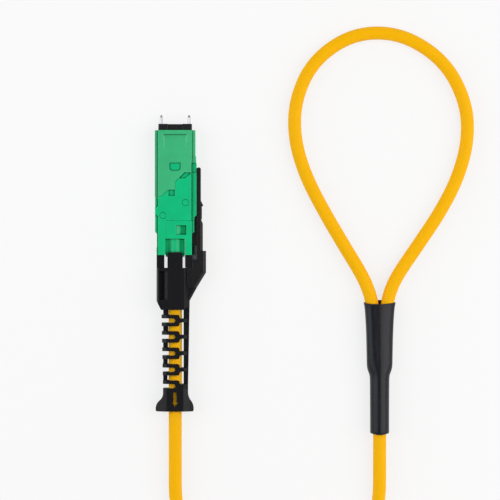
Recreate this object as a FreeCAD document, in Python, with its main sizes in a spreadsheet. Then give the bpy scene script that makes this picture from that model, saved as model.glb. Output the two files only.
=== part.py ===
import FreeCAD, Part
import math
import os
import Sketcher
from FreeCAD import Vector

# Fibre loopback adapter: a very small push-pull multi-fibre plug on a round cable
# that ends in a closed loop held by a shrunk sleeve. Millimetres throughout.
# The plug's front face is at Y = 0 and its axis is the Y axis, front towards +Y.
# The latch is on the +X side. The floor is half the plug's thickness below Z = 0.

SIZES = {
    # section of the plug housing
    "plug_width": 7.70,
    "plug_thick": 3.74,
    "face_width": 6.40,
    "side_band": 2.40,
    "latch_band": 2.90,
    "edge_break": 0.10,
    # zigzag joint between the two housings, distances behind the front face
    "seam_latch": 6.20,
    "seam_latch_x": 3.15,
    "seam_first": 8.04,
    "seam_first_x": 1.82,
    "seam_second": 11.34,
    "seam_second_x": 1.40,
    "seam_last": 12.60,
    "seam_gap": 0.06,
    # front housing
    "scoop_front": 0.75,
    "scoop_back": 3.50,
    "scoop_width": 3.94,
    "scoop_flare": 0.40,
    "scoop_depth": 0.28,
    "scoop_end": 0.02,
    "window_front": 6.19,
    "window_back": 7.72,
    "window_width": 2.14,
    "window_round": 0.62,
    "notch_width": 1.36,
    "notch_front": 10.60,
    "panel_front": 1.10,
    "panel_back": 4.85,
    "panel_slope": 2.00,
    "panel_depth": 0.24,
    "panel_rib": 1.30,
    "panel_rim": 0.10,
    "ridge_front": 4.95,
    "ridge_rise": 0.14,
    # snap tongues of the rear housing
    "tongue_width": 6.00,
    "tongue_thick": 0.30,
    "tongue_front": 5.70,
    "snap_rise": 0.28,
    "fit_gap": 0.05,
    "hair_gap": 0.01,
    # rear housing
    "rear_end": 23.74,
    "latch_face": 4.08,
    "latch_mid": 3.65,
    "latch_leg": 3.22,
    "back_face": 3.80,
    "back_leg": 3.46,
    "step_first": 16.20,
    "step_second": 19.35,
    "step_run": 0.38,
    "lug_front": 14.85,
    "lug_back": 15.95,
    "lug_slope": 0.45,
    "ledge_depth": 0.30,
    "ledge_run": 1.10,
    "ledge_side": 0.20,
    "ledge_end": 0.26,
    "nook_run": 1.10,
    "fork_start": 20.70,
    "fork_width": 3.66,
    "slot_width": 2.16,
    "slot_mouth": 1.56,
    "slot_front": 19.35,
    "hook_run": 0.45,
    "prong_round": 0.40,
    "channel_width": 1.90,
    "channel_depth": 0.60,
    "mark_radius": 0.66,
    "mark_one_x": 2.00,
    "mark_one_back": 13.80,
    "mark_two_x": 2.28,
    "mark_two_back": 16.24,
    "mark_depth": 0.08,
    "mark_line": 0.10,
    "mark_sink": 0.02,
    "label_width": 2.55,
    "label_left": 0.20,
    "label_front": 13.20,
    "label_back": 20.20,
    "label_depth": 0.10,
    # chamber inside the housings
    "chamber_width": 6.10,
    "chamber_thick": 2.24,
    "seat_width": 5.50,
    # crimp body
    "plate_front": 17.20,
    "plate_side": 1.72,
    "plate_floor": 0.90,
    "spring_seat": 13.50,
    "seat_radius": 1.05,
    "pocket_front": 18.10,
    "pocket_back": 19.90,
    "pocket_left": 0.20,
    "pocket_right": 2.15,
    "pocket_wall": 0.14,
    "pocket_curve": 1.77,
    "pocket_run": 1.15,
    "pocket_shelf": 0.04,
    "web_width": 3.60,
    "web_thick": 1.60,
    "neck_radius": 1.44,
    "neck_end": 24.10,
    "collar_front": 22.95,
    "collar_rise": 0.04,
    "barrel_radius": 1.10,
    "barrel_end": 28.40,
    "bore_radius": 0.66,
    # ferrule, its pins and what sits behind it
    "ferrule_width": 6.40,
    "ferrule_thick": 1.77,
    "ferrule_face": 1.24,
    "face_drop": 0.25,
    "ear_under": 1.40,
    "ear_upper": 1.75,
    "ear_relief": 0.30,
    "ear_bevel": 0.48,
    "ear_edge": 0.15,
    "flange_width": 6.86,
    "flange_thick": 2.10,
    "flange_front": 2.20,
    "flange_run": 1.00,
    "pin_pitch": 5.30,
    "pin_radius": 0.275,
    "pin_tip": 2.95,
    "pin_nose": 0.45,
    "pin_bulge": 0.22,
    "pin_bulge_back": 0.18,
    "pin_flat": 0.10,
    "keeper_run": 1.40,
    "keeper_width": 6.30,
    "keeper_thick": 1.70,
    "opening_width": 4.40,
    "opening_thick": 1.20,
    "soft_thick": 0.80,
    "ribbon_width": 3.90,
    "ribbon_thick": 0.30,
    "ferrule_pocket": 1.50,
    "ferrule_float": 0.50,
    "soft_end": 2.60,
    "ribbon_flat": 3.15,
    "ribbon_round": 4.70,
    "bundle_radius": 0.54,
    "wire_radius": 0.12,
    "coil_radius": 0.92,
    "coil_pitch": 1.00,
    # crimp
    "ring_front": 24.30,
    "ring_end": 30.20,
    "ring_radius": 1.46,
    "ring_wall": 0.18,
    # push-pull boot
    "boot_thick": 3.62,
    "boot_travel": 1.94,
    "head_front": 26.20,
    "head_end": 34.20,
    "head_left": 3.53,
    "head_right": 2.10,
    "head_taper": 32.50,
    "head_corner": 0.40,
    "head_slant": 0.30,
    "wall_slant": 0.30,
    "wall_drop": 0.85,
    "finger_front": 23.26,
    "finger_width": 2.86,
    "finger_round": 0.36,
    "finger_lift": 0.98,
    "tee_front": 22.30,
    "tee_width": 2.04,
    "tee_neck": 1.04,
    "tee_depth": 0.68,
    "tee_round": 0.60,
    "tee_inner": 2.07,
    "boot_bore": 1.52,
    "cavity_end": 32.30,
    "cable_gap": 0.05,
    "pocket_outer": 3.05,
    "pocket_inner": 1.46,
    "pocket_web": 0.50,
    "pocket_lip": 0.60,
    "pocket_slant": 0.62,
    "pocket_fall": 0.42,
    "pocket_edge": 0.12,
    "spine_inner": 1.62,
    "spine_outer": 2.75,
    "spine_low": 2.45,
    "spine_top_width": 1.86,
    "spine_low_width": 0.84,
    "rib_first": 34.66,
    "rib_pitch": 3.12,
    "rib_slot": 0.82,
    "rib_gap": 0.94,
    "rib_left": 2.60,
    "rib_left_low": 2.28,
    "rib_inner": 1.42,
    "rib_wall": 0.48,
    "rib_slant": 0.95,
    "rib_drop": 0.62,
    "rib_root": 0.50,
    "slot_end": 0.05,
    "post_width": 0.72,
    "post_inner": 1.28,
    "post_low": 1.52,
    "post_straight": 36.00,
    "stem_height": 0.70,
    "stem_end": 2.30,
    "stem_slant": 0.50,
    "stem_drop": 0.60,
    "foot_top": 49.10,
    "foot_end": 53.55,
    "foot_left": 3.72,
    "foot_right": 3.52,
    "foot_neck": 0.90,
    "flare_run": 1.51,
    "foot_round": 0.25,
    "foot_flat": 1.60,
    "foot_reach": 2.11,
    "foot_drop": 1.50,
    "foot_curve": 5.00,
    "arrow_front": 49.90,
    "arrow_back": 52.70,
    "arrow_width": 1.90,
    "arrow_shaft": 0.76,
    "arrow_head": 0.90,
    "pointer_width": 1.00,
    "pointer_shaft": 0.57,
    "head_mark_back": 31.30,
    "head_mark_radius": 1.05,
    "foot_mark_x": 1.08,
    "foot_mark_first": 49.60,
    "foot_mark_last": 52.90,
    "foot_mark_radius": 0.42,
    "wedge_top": 30.02,
    "wedge_out": 4.10,
    "wedge_width": 2.30,
    "wedge_edge": 0.30,
    "ramp_run": 0.30,
    # latch arm
    "arm_front": 7.08,
    "arm_inner": 4.13,
    "arm_outer": 4.89,
    "arm_width": 2.70,
    "arm_tip": 0.30,
    "barb_front": 13.35,
    "barb_apex": 14.25,
    "barb_back": 14.62,
    "barb_top": 5.32,
    "barb_width": 1.54,
    "barb_crest": 1.10,
    "barb_flat": 0.12,
    "arm_neck": 1.16,
    "arm_bump": 1.90,
    "arm_waist": 1.10,
    "neck_lift": 0.20,
    "bump_front": 15.00,
    "bump_run": 0.75,
    "waist_back": 16.50,
    "block_front": 16.90,
    "block_run": 0.84,
    "block_top": 5.27,
    "block_width": 2.06,
    "block_slant": 0.34,
    "shroud_front": 22.95,
    "shroud_slant": 27.10,
    "shroud_top": 5.88,
    "shroud_width": 2.44,
    "shroud_edge": 0.48,
    "gusset_inner": 1.72,
    "gusset_outer": 2.40,
    "gusset_front": 21.90,
    "gusset_back": 24.60,
    "rib_reach": 1.90,
    "rib_foot": 0.50,
    "arm_slot_front": 27.20,
    "arm_slot_back": 29.10,
    "arm_slot_width": 1.00,
    "lock_gap": 0.16,
    "lock_rise": 0.20,
    # cable, sleeve and loop
    "cable_radius": 1.25,
    "held_end": 51.00,
    "sleeve_x": 39.00,
    "sleeve_top": 33.00,
    "sleeve_length": 24.80,
    "sleeve_width": 6.10,
    "sleeve_thick": 3.46,
    "sleeve_waist": 4.96,
    "sleeve_low": 1.82,
    "sleeve_lift": 1.86,
    "mouth_run": 1.24,
    "mouth_width": 5.76,
    "flare_end": 3.22,
    "flare_width": 5.42,
    "waist_start": 7.94,
    "shoulder_start": 11.78,
    "shoulder_middle": 13.02,
    "shoulder_end": 14.38,
    "leg_spacing": 2.52,
    "leg_splay": 3.08,
    "leg_depth": 4.00,
    "leg_straight": 1.20,
    "leg_bend": 2.40,
    "trunk_depth": 9.00,
    "group_radius": 0.35,
    "group_spacing": 0.90,
    "group_ease": 0.06,
}


class Size:
    """A number together with the spreadsheet formula that gives it."""

    def __init__(self, value, formula):
        self.value = value
        self.formula = formula

    def join(self, sign, other, value):
        return Size(value, f"({self.formula} {sign} {formula_of(other)})")

    def __add__(self, other):
        return self.join("+", other, self.value + value_of(other))

    def __sub__(self, other):
        return self.join("-", other, self.value - value_of(other))

    def __rsub__(self, other):
        return Size(value_of(other) - self.value, f"({formula_of(other)} - {self.formula})")

    def __mul__(self, other):
        return self.join("*", other, self.value * value_of(other))

    def __truediv__(self, other):
        return self.join("/", other, self.value / value_of(other))

    def __neg__(self):
        return Size(-self.value, f"(0 - {self.formula})")


def value_of(size):
    return size.value if isinstance(size, Size) else float(size)


def formula_of(size):
    return size.formula if isinstance(size, Size) else f"({size!r})"


class Sheet:
    """The spreadsheet of driving sizes, read back as Size objects by alias."""

    def __init__(self, document, sizes):
        self.cells = document.addObject("Spreadsheet::Sheet", "Sizes")
        for row, (alias, number) in enumerate(sizes.items(), start=1):
            self.cells.set(f"A{row}", alias)
            self.cells.set(f"B{row}", str(number))
            self.cells.setAlias(f"B{row}", alias)
        document.recompute()

    def __getattr__(self, alias):
        return Size(float(self.cells.get(alias)), f"Sizes.{alias}")


doc = FreeCAD.newDocument("FibreLoopback")
dim = Sheet(doc, SIZES)
made = []


def bind(thing, path, size):
    """Ties one property of an object to the spreadsheet."""
    thing.setExpression(path, formula_of(size))


def new_body(label):
    body = doc.addObject("PartDesign::Body", label)
    body.Label = label
    made.append(body)
    return body


def plane_of(body, role):
    return next(f for f in body.Origin.OriginFeatures if f.Role == role)


def draw(body, name, plane, offset, points):
    """Draws a closed outline with every corner tied to the spreadsheet.

    A point is (x, y), or (x, y, r) where an arc of radius r runs on to the next
    point: r above zero turns left, r below zero turns right.
    """
    sketch = body.newObject("Sketcher::SketchObject", name)
    sketch.AttachmentSupport = [(plane_of(body, plane), "")]
    sketch.MapMode = "FlatFace"
    bind(sketch, "AttachmentOffset.Base.z", offset)
    spots = [Vector(value_of(p[0]), value_of(p[1]), 0) for p in points]
    ends = []
    for index, point in enumerate(points):
        start = spots[index]
        stop = spots[(index + 1) % len(spots)]
        if len(point) == 2:
            sketch.addGeometry(Part.LineSegment(start, stop))
            ends.append((1, 2))
            continue
        radius = abs(value_of(point[2]))
        left = value_of(point[2]) > 0
        chord = stop - start
        half = chord.Length / 2
        reach = math.sqrt(max(radius * radius - half * half, 0.0))
        normal = Vector(-chord.y, chord.x, 0).normalize()
        centre = start + chord * 0.5 + normal * (reach if left else -reach)
        first, last = (start, stop) if left else (stop, start)
        circle = Part.Circle(centre, Vector(0, 0, 1), radius)
        angles = [math.atan2(v.y - centre.y, v.x - centre.x) for v in (first, last)]
        sketch.addGeometry(Part.ArcOfCircle(circle, angles[0], angles[1]))
        ends.append((1, 2) if left else (2, 1))
    for index, point in enumerate(points):
        after = (index + 1) % len(points)
        meet = ("Coincident", index, ends[index][1], after, ends[after][0])
        sketch.addConstraint(Sketcher.Constraint(*meet))
    for index, point in enumerate(points):
        for kind, size in (("DistanceX", point[0]), ("DistanceY", point[1])):
            rule = Sketcher.Constraint(kind, -1, 1, index, ends[index][0], value_of(size))
            number = sketch.addConstraint(rule)
            bind(sketch, f"Constraints[{number}]", size)
        if len(point) == 3:
            size = point[2] if value_of(point[2]) > 0 else -point[2]
            number = sketch.addConstraint(Sketcher.Constraint("Radius", index, value_of(size)))
            bind(sketch, f"Constraints[{number}]", size)
    return sketch


def draw_circle(body, name, plane, offset, x, y, radius):
    sketch = body.newObject("Sketcher::SketchObject", name)
    sketch.AttachmentSupport = [(plane_of(body, plane), "")]
    sketch.MapMode = "FlatFace"
    bind(sketch, "AttachmentOffset.Base.z", offset)
    centre = Vector(value_of(x), value_of(y), 0)
    sketch.addGeometry(Part.Circle(centre, Vector(0, 0, 1), value_of(radius)))
    rules = (
        (Sketcher.Constraint("Radius", 0, value_of(radius)), radius),
        (Sketcher.Constraint("DistanceX", -1, 1, 0, 3, value_of(x)), x),
        (Sketcher.Constraint("DistanceY", -1, 1, 0, 3, value_of(y)), y),
    )
    for rule, size in rules:
        number = sketch.addConstraint(rule)
        bind(sketch, f"Constraints[{number}]", size)
    return sketch


def extrude(body, name, kind, plane, low, high, shape):
    """Pads or pockets an outline between two stations on the plane's own axis."""
    adds = kind == "PartDesign::Pad"
    if plane == "XZ_Plane":
        offset = -high if adds else -low
    else:
        offset = low if adds else high
    if len(shape) == 3 and not isinstance(shape[0], tuple):
        sketch = draw_circle(body, f"{name}_outline", plane, offset, *shape)
    else:
        sketch = draw(body, f"{name}_outline", plane, offset, shape)
    feature = body.newObject(kind, name)
    feature.Profile = sketch
    bind(feature, "Length", high - low)
    return feature


def pad(body, name, plane, low, high, shape):
    return extrude(body, name, "PartDesign::Pad", plane, low, high, shape)


def cut(body, name, plane, low, high, shape):
    return extrude(body, name, "PartDesign::Pocket", plane, low, high, shape)


def rectangle(left, right, low, high):
    return [(left, low), (right, low), (right, high), (left, high)]


def repeat_back(body, name, feature, count, pitch):
    """Repeats a feature towards the cable end at a fixed pitch."""
    row = body.newObject("PartDesign::LinearPattern", name)
    row.Originals = [feature]
    row.Direction = (plane_of(body, "Y_Axis"), [""])
    row.Reversed = True
    row.Occurrences = count
    bind(row, "Length", pitch * (count - 1))
    body.Tip = row
    return row


ZERO = Size(0.0, "(0)")
HALF_THICK = dim.plug_thick / 2
HALF_FACE = dim.face_width / 2
HALF_PLUG = dim.plug_width / 2
OVER = dim.plug_thick
# how far joined features run into each other, and how far a cut runs past a face
LAP = 0.1
PAST = 1.0
# corner radius of an almost round section, as a share of its thickness
NEAR_HALF = 0.49
# share of the shorter run beside a corner of a cable route that its arc takes up
CORNER_SHARE = 0.45
# pairs of ribs on the boot, and flats round the spring's drawn wire
RIBS = 5
WIRE_FLATS = 8


def mirrored(low, high):
    """The same Z range above and below the middle plane."""
    return (("Upper", 1, low, high), ("Under", -1, -high, -low))


def bevel(body, name, low, high, x, z, inward_x, inward_z):
    """Slants one edge that runs along the plug, by runs that point into the solid."""
    over = 0.2
    corner = [
        (x + inward_x * (1 + over), z - inward_z * over),
        (x - inward_x * over, z - inward_z * over),
        (x - inward_x * over, z + inward_z * (1 + over)),
    ]
    return cut(body, name, "XZ_Plane", low, high, corner)


def crowned(body, name, reach, edge, outline, outer):
    """Pads an outline about the middle plane and slants the edges along its outer points."""
    core = reach - edge
    pad(body, name, "XY_Plane", -core, core, outline)
    inset = [(x - edge if index in outer else x, y) for index, (x, y) in enumerate(outline)]
    for tag, side, low, high in mirrored(core, reach):
        base = draw(body, f"{name}Base{tag}", "XY_Plane", core * side, outline)
        crest = draw(body, f"{name}Crest{tag}", "XY_Plane", reach * side, inset)
        loft = body.newObject("PartDesign::AdditiveLoft", f"{name}Edge{tag}")
        loft.Profile = base
        loft.Sections = [crest]
        loft.Ruled = True


def bevel_four(body, name, low, high, x, z, run):
    """Slants the four long edges of a box-shaped section."""
    for tag, side in (("Near", 1), ("Far", -1)):
        for level, rise in (("Upper", 1), ("Under", -1)):
            title = f"{name}{tag}{level}"
            bevel(body, title, low, high, x * side, z * rise, run * -side, run * -rise)


def seam(shift_x, shift_y, right):
    """Points of the zigzag joint from the latch side to the far side."""
    first = dim.seam_first
    second = dim.seam_second
    drop = dim.seam_last - second
    return [
        (right, shift_y - dim.seam_latch),
        (dim.seam_latch_x + shift_x, shift_y - dim.seam_latch),
        (dim.seam_latch_x + shift_x, shift_y - first),
        (dim.seam_first_x + shift_x, shift_y - first),
        (shift_x, shift_y - first - dim.seam_first_x),
        (shift_x, shift_y - second),
        (shift_x - dim.seam_second_x, shift_y - second),
        (shift_x - dim.seam_second_x - drop, shift_y - dim.seam_last),
    ]


def front_housing():
    body = new_body("front_housing")
    half = dim.side_band / 2
    band = dim.latch_band / 2
    wide = [(-HALF_PLUG, ZERO), (HALF_PLUG, ZERO)] + seam(ZERO, ZERO, HALF_PLUG)
    wide.append((-HALF_PLUG, -dim.seam_last))
    pad(body, "FrontCore", "XY_Plane", -half, half, wide)
    tall = [(-HALF_FACE, ZERO), (HALF_FACE, ZERO)] + seam(ZERO, ZERO, HALF_FACE)
    tall.append((-HALF_FACE, -dim.seam_last))
    pad(body, "FrontFaces", "XY_Plane", -HALF_THICK, HALF_THICK, tall)
    bevel_four(body, "FrontEdge", -dim.seam_last, ZERO, HALF_FACE, HALF_THICK, dim.edge_break)
    edge = rectangle(HALF_FACE - LAP, HALF_PLUG, -dim.seam_latch, ZERO)
    pad(body, "FrontLatchBand", "XY_Plane", -band, band, edge)
    crest = HALF_PLUG + dim.ridge_rise
    ridge = rectangle(HALF_PLUG - LAP, crest, -dim.seam_latch, -dim.ridge_front)
    pad(body, "FrontRidge", "XY_Plane", -band, band, ridge)
    # way for the ferrule and the chamber for its flange
    cut(body, "FerruleWay", "XZ_Plane", -dim.seam_last, ZERO, ferrule_outline(dim.fit_gap))
    way = dim.flange_width / 2 + dim.fit_gap
    rise = dim.flange_thick / 2 + dim.fit_gap
    chamber = rectangle(-way, way, -rise, rise)
    cut(body, "FlangeWay", "XZ_Plane", -dim.seam_last, -dim.flange_front + dim.hair_gap * 2, chamber)
    way = dim.tongue_width / 2 + dim.fit_gap
    front = -dim.tongue_front + dim.fit_gap
    for tag, side, low, high in mirrored(rise, dim.chamber_thick / 2 + dim.tongue_thick + dim.fit_gap):
        groove = rectangle(-way, way, low, high)
        cut(body, f"TongueWay{tag}", "XZ_Plane", -dim.seam_last, front, groove)
    for tag, side, low, high in mirrored(dim.chamber_thick / 2, HALF_THICK):
        cut(body, f"Window{tag}", "XY_Plane", low, high, window(ZERO))
    for tag, side, low, high in mirrored(dim.panel_rib / 2, band):
        scoop = body.newObject("PartDesign::SubtractiveLoft", f"Scoop{tag}")
        deep = scoop_outline(side, dim.scoop_depth)
        scoop.Profile = draw(body, f"ScoopFront{tag}", "XZ_Plane", dim.scoop_front, deep)
        shallow = scoop_outline(side, dim.scoop_end)
        scoop.Sections = [draw(body, f"ScoopBack{tag}", "XZ_Plane", dim.scoop_back, shallow)]
        scoop.Ruled = True
        inner = dim.panel_rib / 2 * side
        outer = (band - dim.panel_rim) * side
        panel = [
            (-dim.panel_front, outer),
            (-dim.panel_front - dim.panel_slope, inner),
            (-dim.panel_back, inner),
            (-dim.panel_back, outer),
        ]
        floor = HALF_PLUG - dim.panel_depth
        cut(body, f"LatchPanel{tag}", "YZ_Plane", floor, HALF_PLUG + PAST, panel)
    cut(body, "TailNotch", "YZ_Plane", -HALF_PLUG - PAST, -HALF_FACE, tail(dim.notch_width, ZERO))
    return body


def scoop_outline(side, depth):
    """Flared section of the finger scoop, open at the broad face."""
    floor = dim.scoop_width / 2
    rise = dim.scoop_depth + LAP
    rim = floor + dim.scoop_flare / dim.scoop_depth * rise
    low = (HALF_THICK - depth) * side
    top = (HALF_THICK - depth + rise) * side
    return [(-rim, top), (-floor, low), (floor, low), (rim, top)]


def window(inset):
    """D-shaped window: straight front edge, round back corners."""
    half = dim.window_width / 2 - inset
    front = -dim.window_front - inset
    back = -dim.window_back + inset
    curve = dim.window_round
    return [
        (-half, front),
        (-half, back + curve, curve),
        (curve - half, back),
        (half - curve, back, curve),
        (half, back + curve),
        (half, front),
    ]


def tail(width, inset):
    """Tongue outline on the narrow side, with a round front end."""
    half = width / 2
    start = -dim.notch_front - inset - half
    return [
        (-dim.seam_last - PAST, -half),
        (start, -half, half),
        (start + half, ZERO, half),
        (start, half),
        (-dim.seam_last - PAST, half),
    ]


def rear_housing():
    body = new_body("rear_housing")
    gap = dim.seam_gap
    half = dim.side_band / 2
    band = dim.latch_band / 2
    first = -dim.step_first
    second = -dim.step_second
    outer = seam(gap, -gap, dim.latch_face) + [
        (-dim.back_face, -dim.seam_last - gap),
        (-dim.back_face, second),
        (-dim.back_leg, second - dim.step_run),
        (-dim.back_leg, -dim.rear_end),
        (dim.latch_leg, -dim.rear_end),
        (dim.latch_leg, second - dim.step_run),
        (dim.latch_mid, second),
        (dim.latch_mid, first - dim.step_run),
        (dim.latch_face, first),
    ]
    pad(body, "RearCore", "XY_Plane", -half, half, outer)
    inner = seam(gap, -gap, HALF_FACE + gap) + [
        (-HALF_FACE, -dim.seam_last - gap),
        (-HALF_FACE, -dim.rear_end),
        (HALF_FACE, -dim.rear_end),
    ]
    pad(body, "RearFaces", "XY_Plane", -HALF_THICK, HALF_THICK, inner)
    bevel_four(body, "RearEdge", -dim.rear_end, -dim.seam_latch, HALF_FACE, HALF_THICK, dim.edge_break)
    strip = [
        (HALF_FACE - LAP, -dim.seam_first - gap),
        (HALF_FACE - LAP, second - dim.step_run),
        (dim.latch_leg, second - dim.step_run),
        (dim.latch_mid, second),
        (dim.latch_mid, first - dim.step_run),
        (dim.latch_face, first),
        (dim.latch_face, -dim.seam_first - gap),
    ]
    pad(body, "RearLatchBand", "XY_Plane", -band, band, strip)
    lug = [
        (-HALF_FACE + LAP, -dim.lug_back - dim.lug_slope),
        (-HALF_FACE + LAP, -dim.lug_front + dim.lug_slope),
        (-HALF_FACE, -dim.lug_front + dim.lug_slope),
        (-dim.back_face, -dim.lug_front),
        (-dim.back_face, -dim.lug_back),
        (-HALF_FACE, -dim.lug_back - dim.lug_slope),
    ]
    pad(body, "RearLug", "XY_Plane", -HALF_THICK, HALF_THICK, lug)
    rear_snaps(body)
    # chamber for the spring and the seat of the crimp body
    reach = dim.chamber_width / 2
    rise = dim.chamber_thick / 2
    back = -dim.plate_front - dim.fit_gap * 2
    chamber = rectangle(-reach, reach, -rise, rise)
    cut(body, "Chamber", "XZ_Plane", back, -dim.seam_latch + PAST, chamber)
    reach = dim.seat_width / 2
    rise = dim.plate_floor + dim.fit_gap
    seat = rectangle(-reach, reach, -rise, rise)
    cut(body, "CrimpSeat", "XZ_Plane", -dim.fork_start, -dim.plate_front + LAP, seat)
    door = rectangle(-dim.plate_side, dim.latch_face + PAST, -dim.rear_end - PAST, -dim.plate_front)
    cut(body, "CrimpDoor", "XY_Plane", dim.plate_floor - LAP, OVER, door)
    rear_fork(body)
    rear_marks(body)
    return body


def rear_snaps(body):
    """Snap tongues with their D-shaped catches, and the tail on the narrow side."""
    inner = dim.chamber_thick / 2
    reach = dim.tongue_width / 2
    for tag, side, low, high in mirrored(inner, inner + dim.tongue_thick):
        plate = rectangle(-reach, reach, -dim.seam_last - PAST, -dim.tongue_front)
        pad(body, f"Tongue{tag}", "XY_Plane", low, high, plate)
    root = inner + dim.tongue_thick / 2
    for tag, side, low, high in mirrored(root, inner + dim.tongue_thick + dim.snap_rise):
        pad(body, f"Catch{tag}", "XY_Plane", low, high, window(dim.fit_gap * 2))
    deep = dim.flange_width / 2 + dim.fit_gap * 2
    tongue = tail(dim.notch_width - dim.fit_gap * 2, dim.fit_gap)
    pad(body, "Tail", "YZ_Plane", -dim.back_face, -deep, tongue)


def rear_fork(body):
    """Fork round the neck, hooked slot for the boot's tee, and the channel under the latch arm."""
    reach = dim.fork_width / 2
    end = -dim.rear_end
    past = end - PAST
    fork = rectangle(-reach, reach, past, -dim.fork_start + dim.fit_gap * 2)
    cut(body, "Fork", "XY_Plane", -OVER, OVER, fork)
    wide = dim.slot_width / 2
    mouth = dim.slot_mouth / 2
    curve = dim.prong_round
    slope = end + dim.hook_run
    slot = [
        (past, -mouth - curve),
        (end, -mouth - curve, -curve),
        (end + curve, -mouth),
        (slope, -mouth),
        (slope + wide - mouth, -wide),
        (-dim.slot_front, -wide),
        (-dim.slot_front, wide),
        (slope + wide - mouth, wide),
        (slope, mouth),
        (end + curve, mouth, -curve),
        (end, mouth + curve),
        (past, mouth + curve),
    ]
    cut(body, "TeeSlot", "YZ_Plane", -OVER - PAST, -reach + LAP, slot)
    half = dim.channel_width / 2
    run = rectangle(past, -dim.seam_latch + PAST, -half, half)
    floor = dim.latch_face - dim.channel_depth
    cut(body, "ArmChannel", "YZ_Plane", floor, dim.latch_face + PAST, run)
    deep = rib_step() + dim.boot_travel + dim.fit_gap * 2
    run = rectangle(past, deep, -half, half)
    floor = dim.latch_leg - dim.fit_gap * 2
    cut(body, "DeepChannel", "YZ_Plane", floor, dim.latch_face + PAST, run)
    run = rectangle(past, -dim.fork_start, -half, half)
    cut(body, "ArmFork", "YZ_Plane", reach - LAP, dim.latch_face + PAST, run)


def rib_step():
    """Where the arm's rib steps in behind the second step of the housing."""
    return -dim.step_second - dim.fit_gap * 2


def rear_marks(body):
    """Sunk ledges behind the zigzag, round mould marks and the bare label panel."""
    gap = dim.seam_gap
    start = -dim.seam_first - gap
    side_x = dim.seam_latch_x - dim.ledge_side
    shelf = [
        (dim.seam_first_x + gap, start),
        (side_x, start),
        (side_x, start - dim.ledge_end),
        (dim.seam_first_x + gap, start - dim.ledge_run),
        (dim.seam_first_x + gap - dim.ledge_run, start - dim.ledge_run),
    ]
    nook = -dim.seam_second - gap
    corner = rectangle(gap - dim.seam_second_x + LAP, gap - LAP, nook - dim.nook_run, nook)
    for tag, side, low, high in mirrored(HALF_THICK - dim.ledge_depth, OVER):
        cut(body, f"Ledge{tag}", "XY_Plane", low, high, shelf)
        cut(body, f"Nook{tag}", "XY_Plane", low, high, corner)
    deep = HALF_THICK - dim.mark_depth
    flush = HALF_THICK - dim.mark_sink
    inner = dim.mark_radius - dim.mark_line
    for name, x, back in (
        ("MarkOne", dim.mark_one_x, dim.mark_one_back),
        ("MarkTwo", -dim.mark_two_x, dim.mark_two_back),
    ):
        cut(body, name, "XY_Plane", deep, OVER, (x, -back, dim.mark_radius))
        pad(body, f"{name}Disc", "XY_Plane", deep - LAP, flush, (x, -back, inner))
    deep = HALF_THICK - dim.label_depth
    right = dim.label_left + dim.label_width
    label = rectangle(dim.label_left, right, -dim.label_back, -dim.label_front)
    cut(body, "LabelPanel", "XY_Plane", -OVER, -deep, label)


def crimp_body():
    body = new_body("crimp_body")
    gap = dim.fit_gap
    band = dim.latch_band / 2
    reach = dim.seat_width / 2 - gap
    floor = dim.plate_floor
    back = dim.fork_start - gap
    front = dim.plate_front + gap
    end = -dim.rear_end
    pad(body, "Block", "XZ_Plane", -back, -front, rectangle(-reach, reach, -floor, floor))
    # cover plate, flush with the upper broad face, with its leg beside the fork
    left = -dim.plate_side + gap
    leg = dim.fork_width / 2 + gap
    plate = [
        (left, -front),
        (left, -back),
        (leg, -back),
        (leg, end),
        (HALF_FACE, end),
        (HALF_FACE, -front),
    ]
    pad(body, "Plate", "XY_Plane", floor - gap, HALF_THICK, plate)
    slant = dim.edge_break
    bevel(body, "PlateEdge", end, -front, HALF_FACE, HALF_THICK, -slant, -slant)
    rim = [
        (HALF_FACE - LAP, -front),
        (HALF_FACE - LAP, end),
        (dim.latch_leg, end),
        (dim.latch_leg, -dim.step_second - dim.step_run),
        (dim.latch_mid, -dim.step_second),
        (dim.latch_mid, -front),
    ]
    pad(body, "PlateRim", "XY_Plane", dim.channel_width / 2 + gap, band, rim)
    # room for the arm's rib and the boot's tee
    half = dim.channel_width / 2
    under = rectangle(end - PAST, -back, -half, half)
    cut(body, "ArmClear", "YZ_Plane", leg - LAP, dim.latch_face + PAST, under)
    front_of_tee = -dim.tee_front + dim.boot_travel + gap * 4
    tee = rectangle(-reach - PAST, -dim.tee_inner + gap * 2, -dim.fork_start - PAST, front_of_tee)
    cut(body, "TeeClear", "XY_Plane", -OVER, OVER, tee)
    shelf = floor + dim.pocket_shelf
    top = HALF_THICK + LAP
    pocket = [
        (dim.pocket_left, top),
        (dim.pocket_left, HALF_THICK - dim.pocket_wall, -dim.pocket_curve),
        (dim.pocket_left + dim.pocket_run, shelf),
        (dim.pocket_right, shelf),
        (dim.pocket_right, top),
    ]
    cut(body, "PlatePocket", "XZ_Plane", -dim.pocket_back, -dim.pocket_front, pocket)
    # spring seat in front; web, neck with its collar and the barrel behind
    pad(body, "SpringSeat", "XZ_Plane", -front, -dim.spring_seat, (ZERO, ZERO, dim.seat_radius))
    web = dim.web_width / 2
    deep = dim.web_thick / 2
    pad(body, "NeckWeb", "XZ_Plane", -dim.neck_end, -back, rectangle(-web, web, -deep, deep))
    pad(body, "Neck", "XZ_Plane", -dim.neck_end, -back, (ZERO, ZERO, dim.neck_radius))
    collar = (ZERO, ZERO, dim.neck_radius + dim.collar_rise)
    pad(body, "Collar", "XZ_Plane", -dim.neck_end, -dim.collar_front, collar)
    barrel = (ZERO, ZERO, dim.barrel_radius)
    pad(body, "Barrel", "XZ_Plane", -dim.barrel_end, -dim.neck_end + LAP, barrel)
    bore = (ZERO, ZERO, dim.bore_radius)
    cut(body, "Bore", "XZ_Plane", -dim.barrel_end, -dim.spring_seat, bore)
    return body


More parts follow.
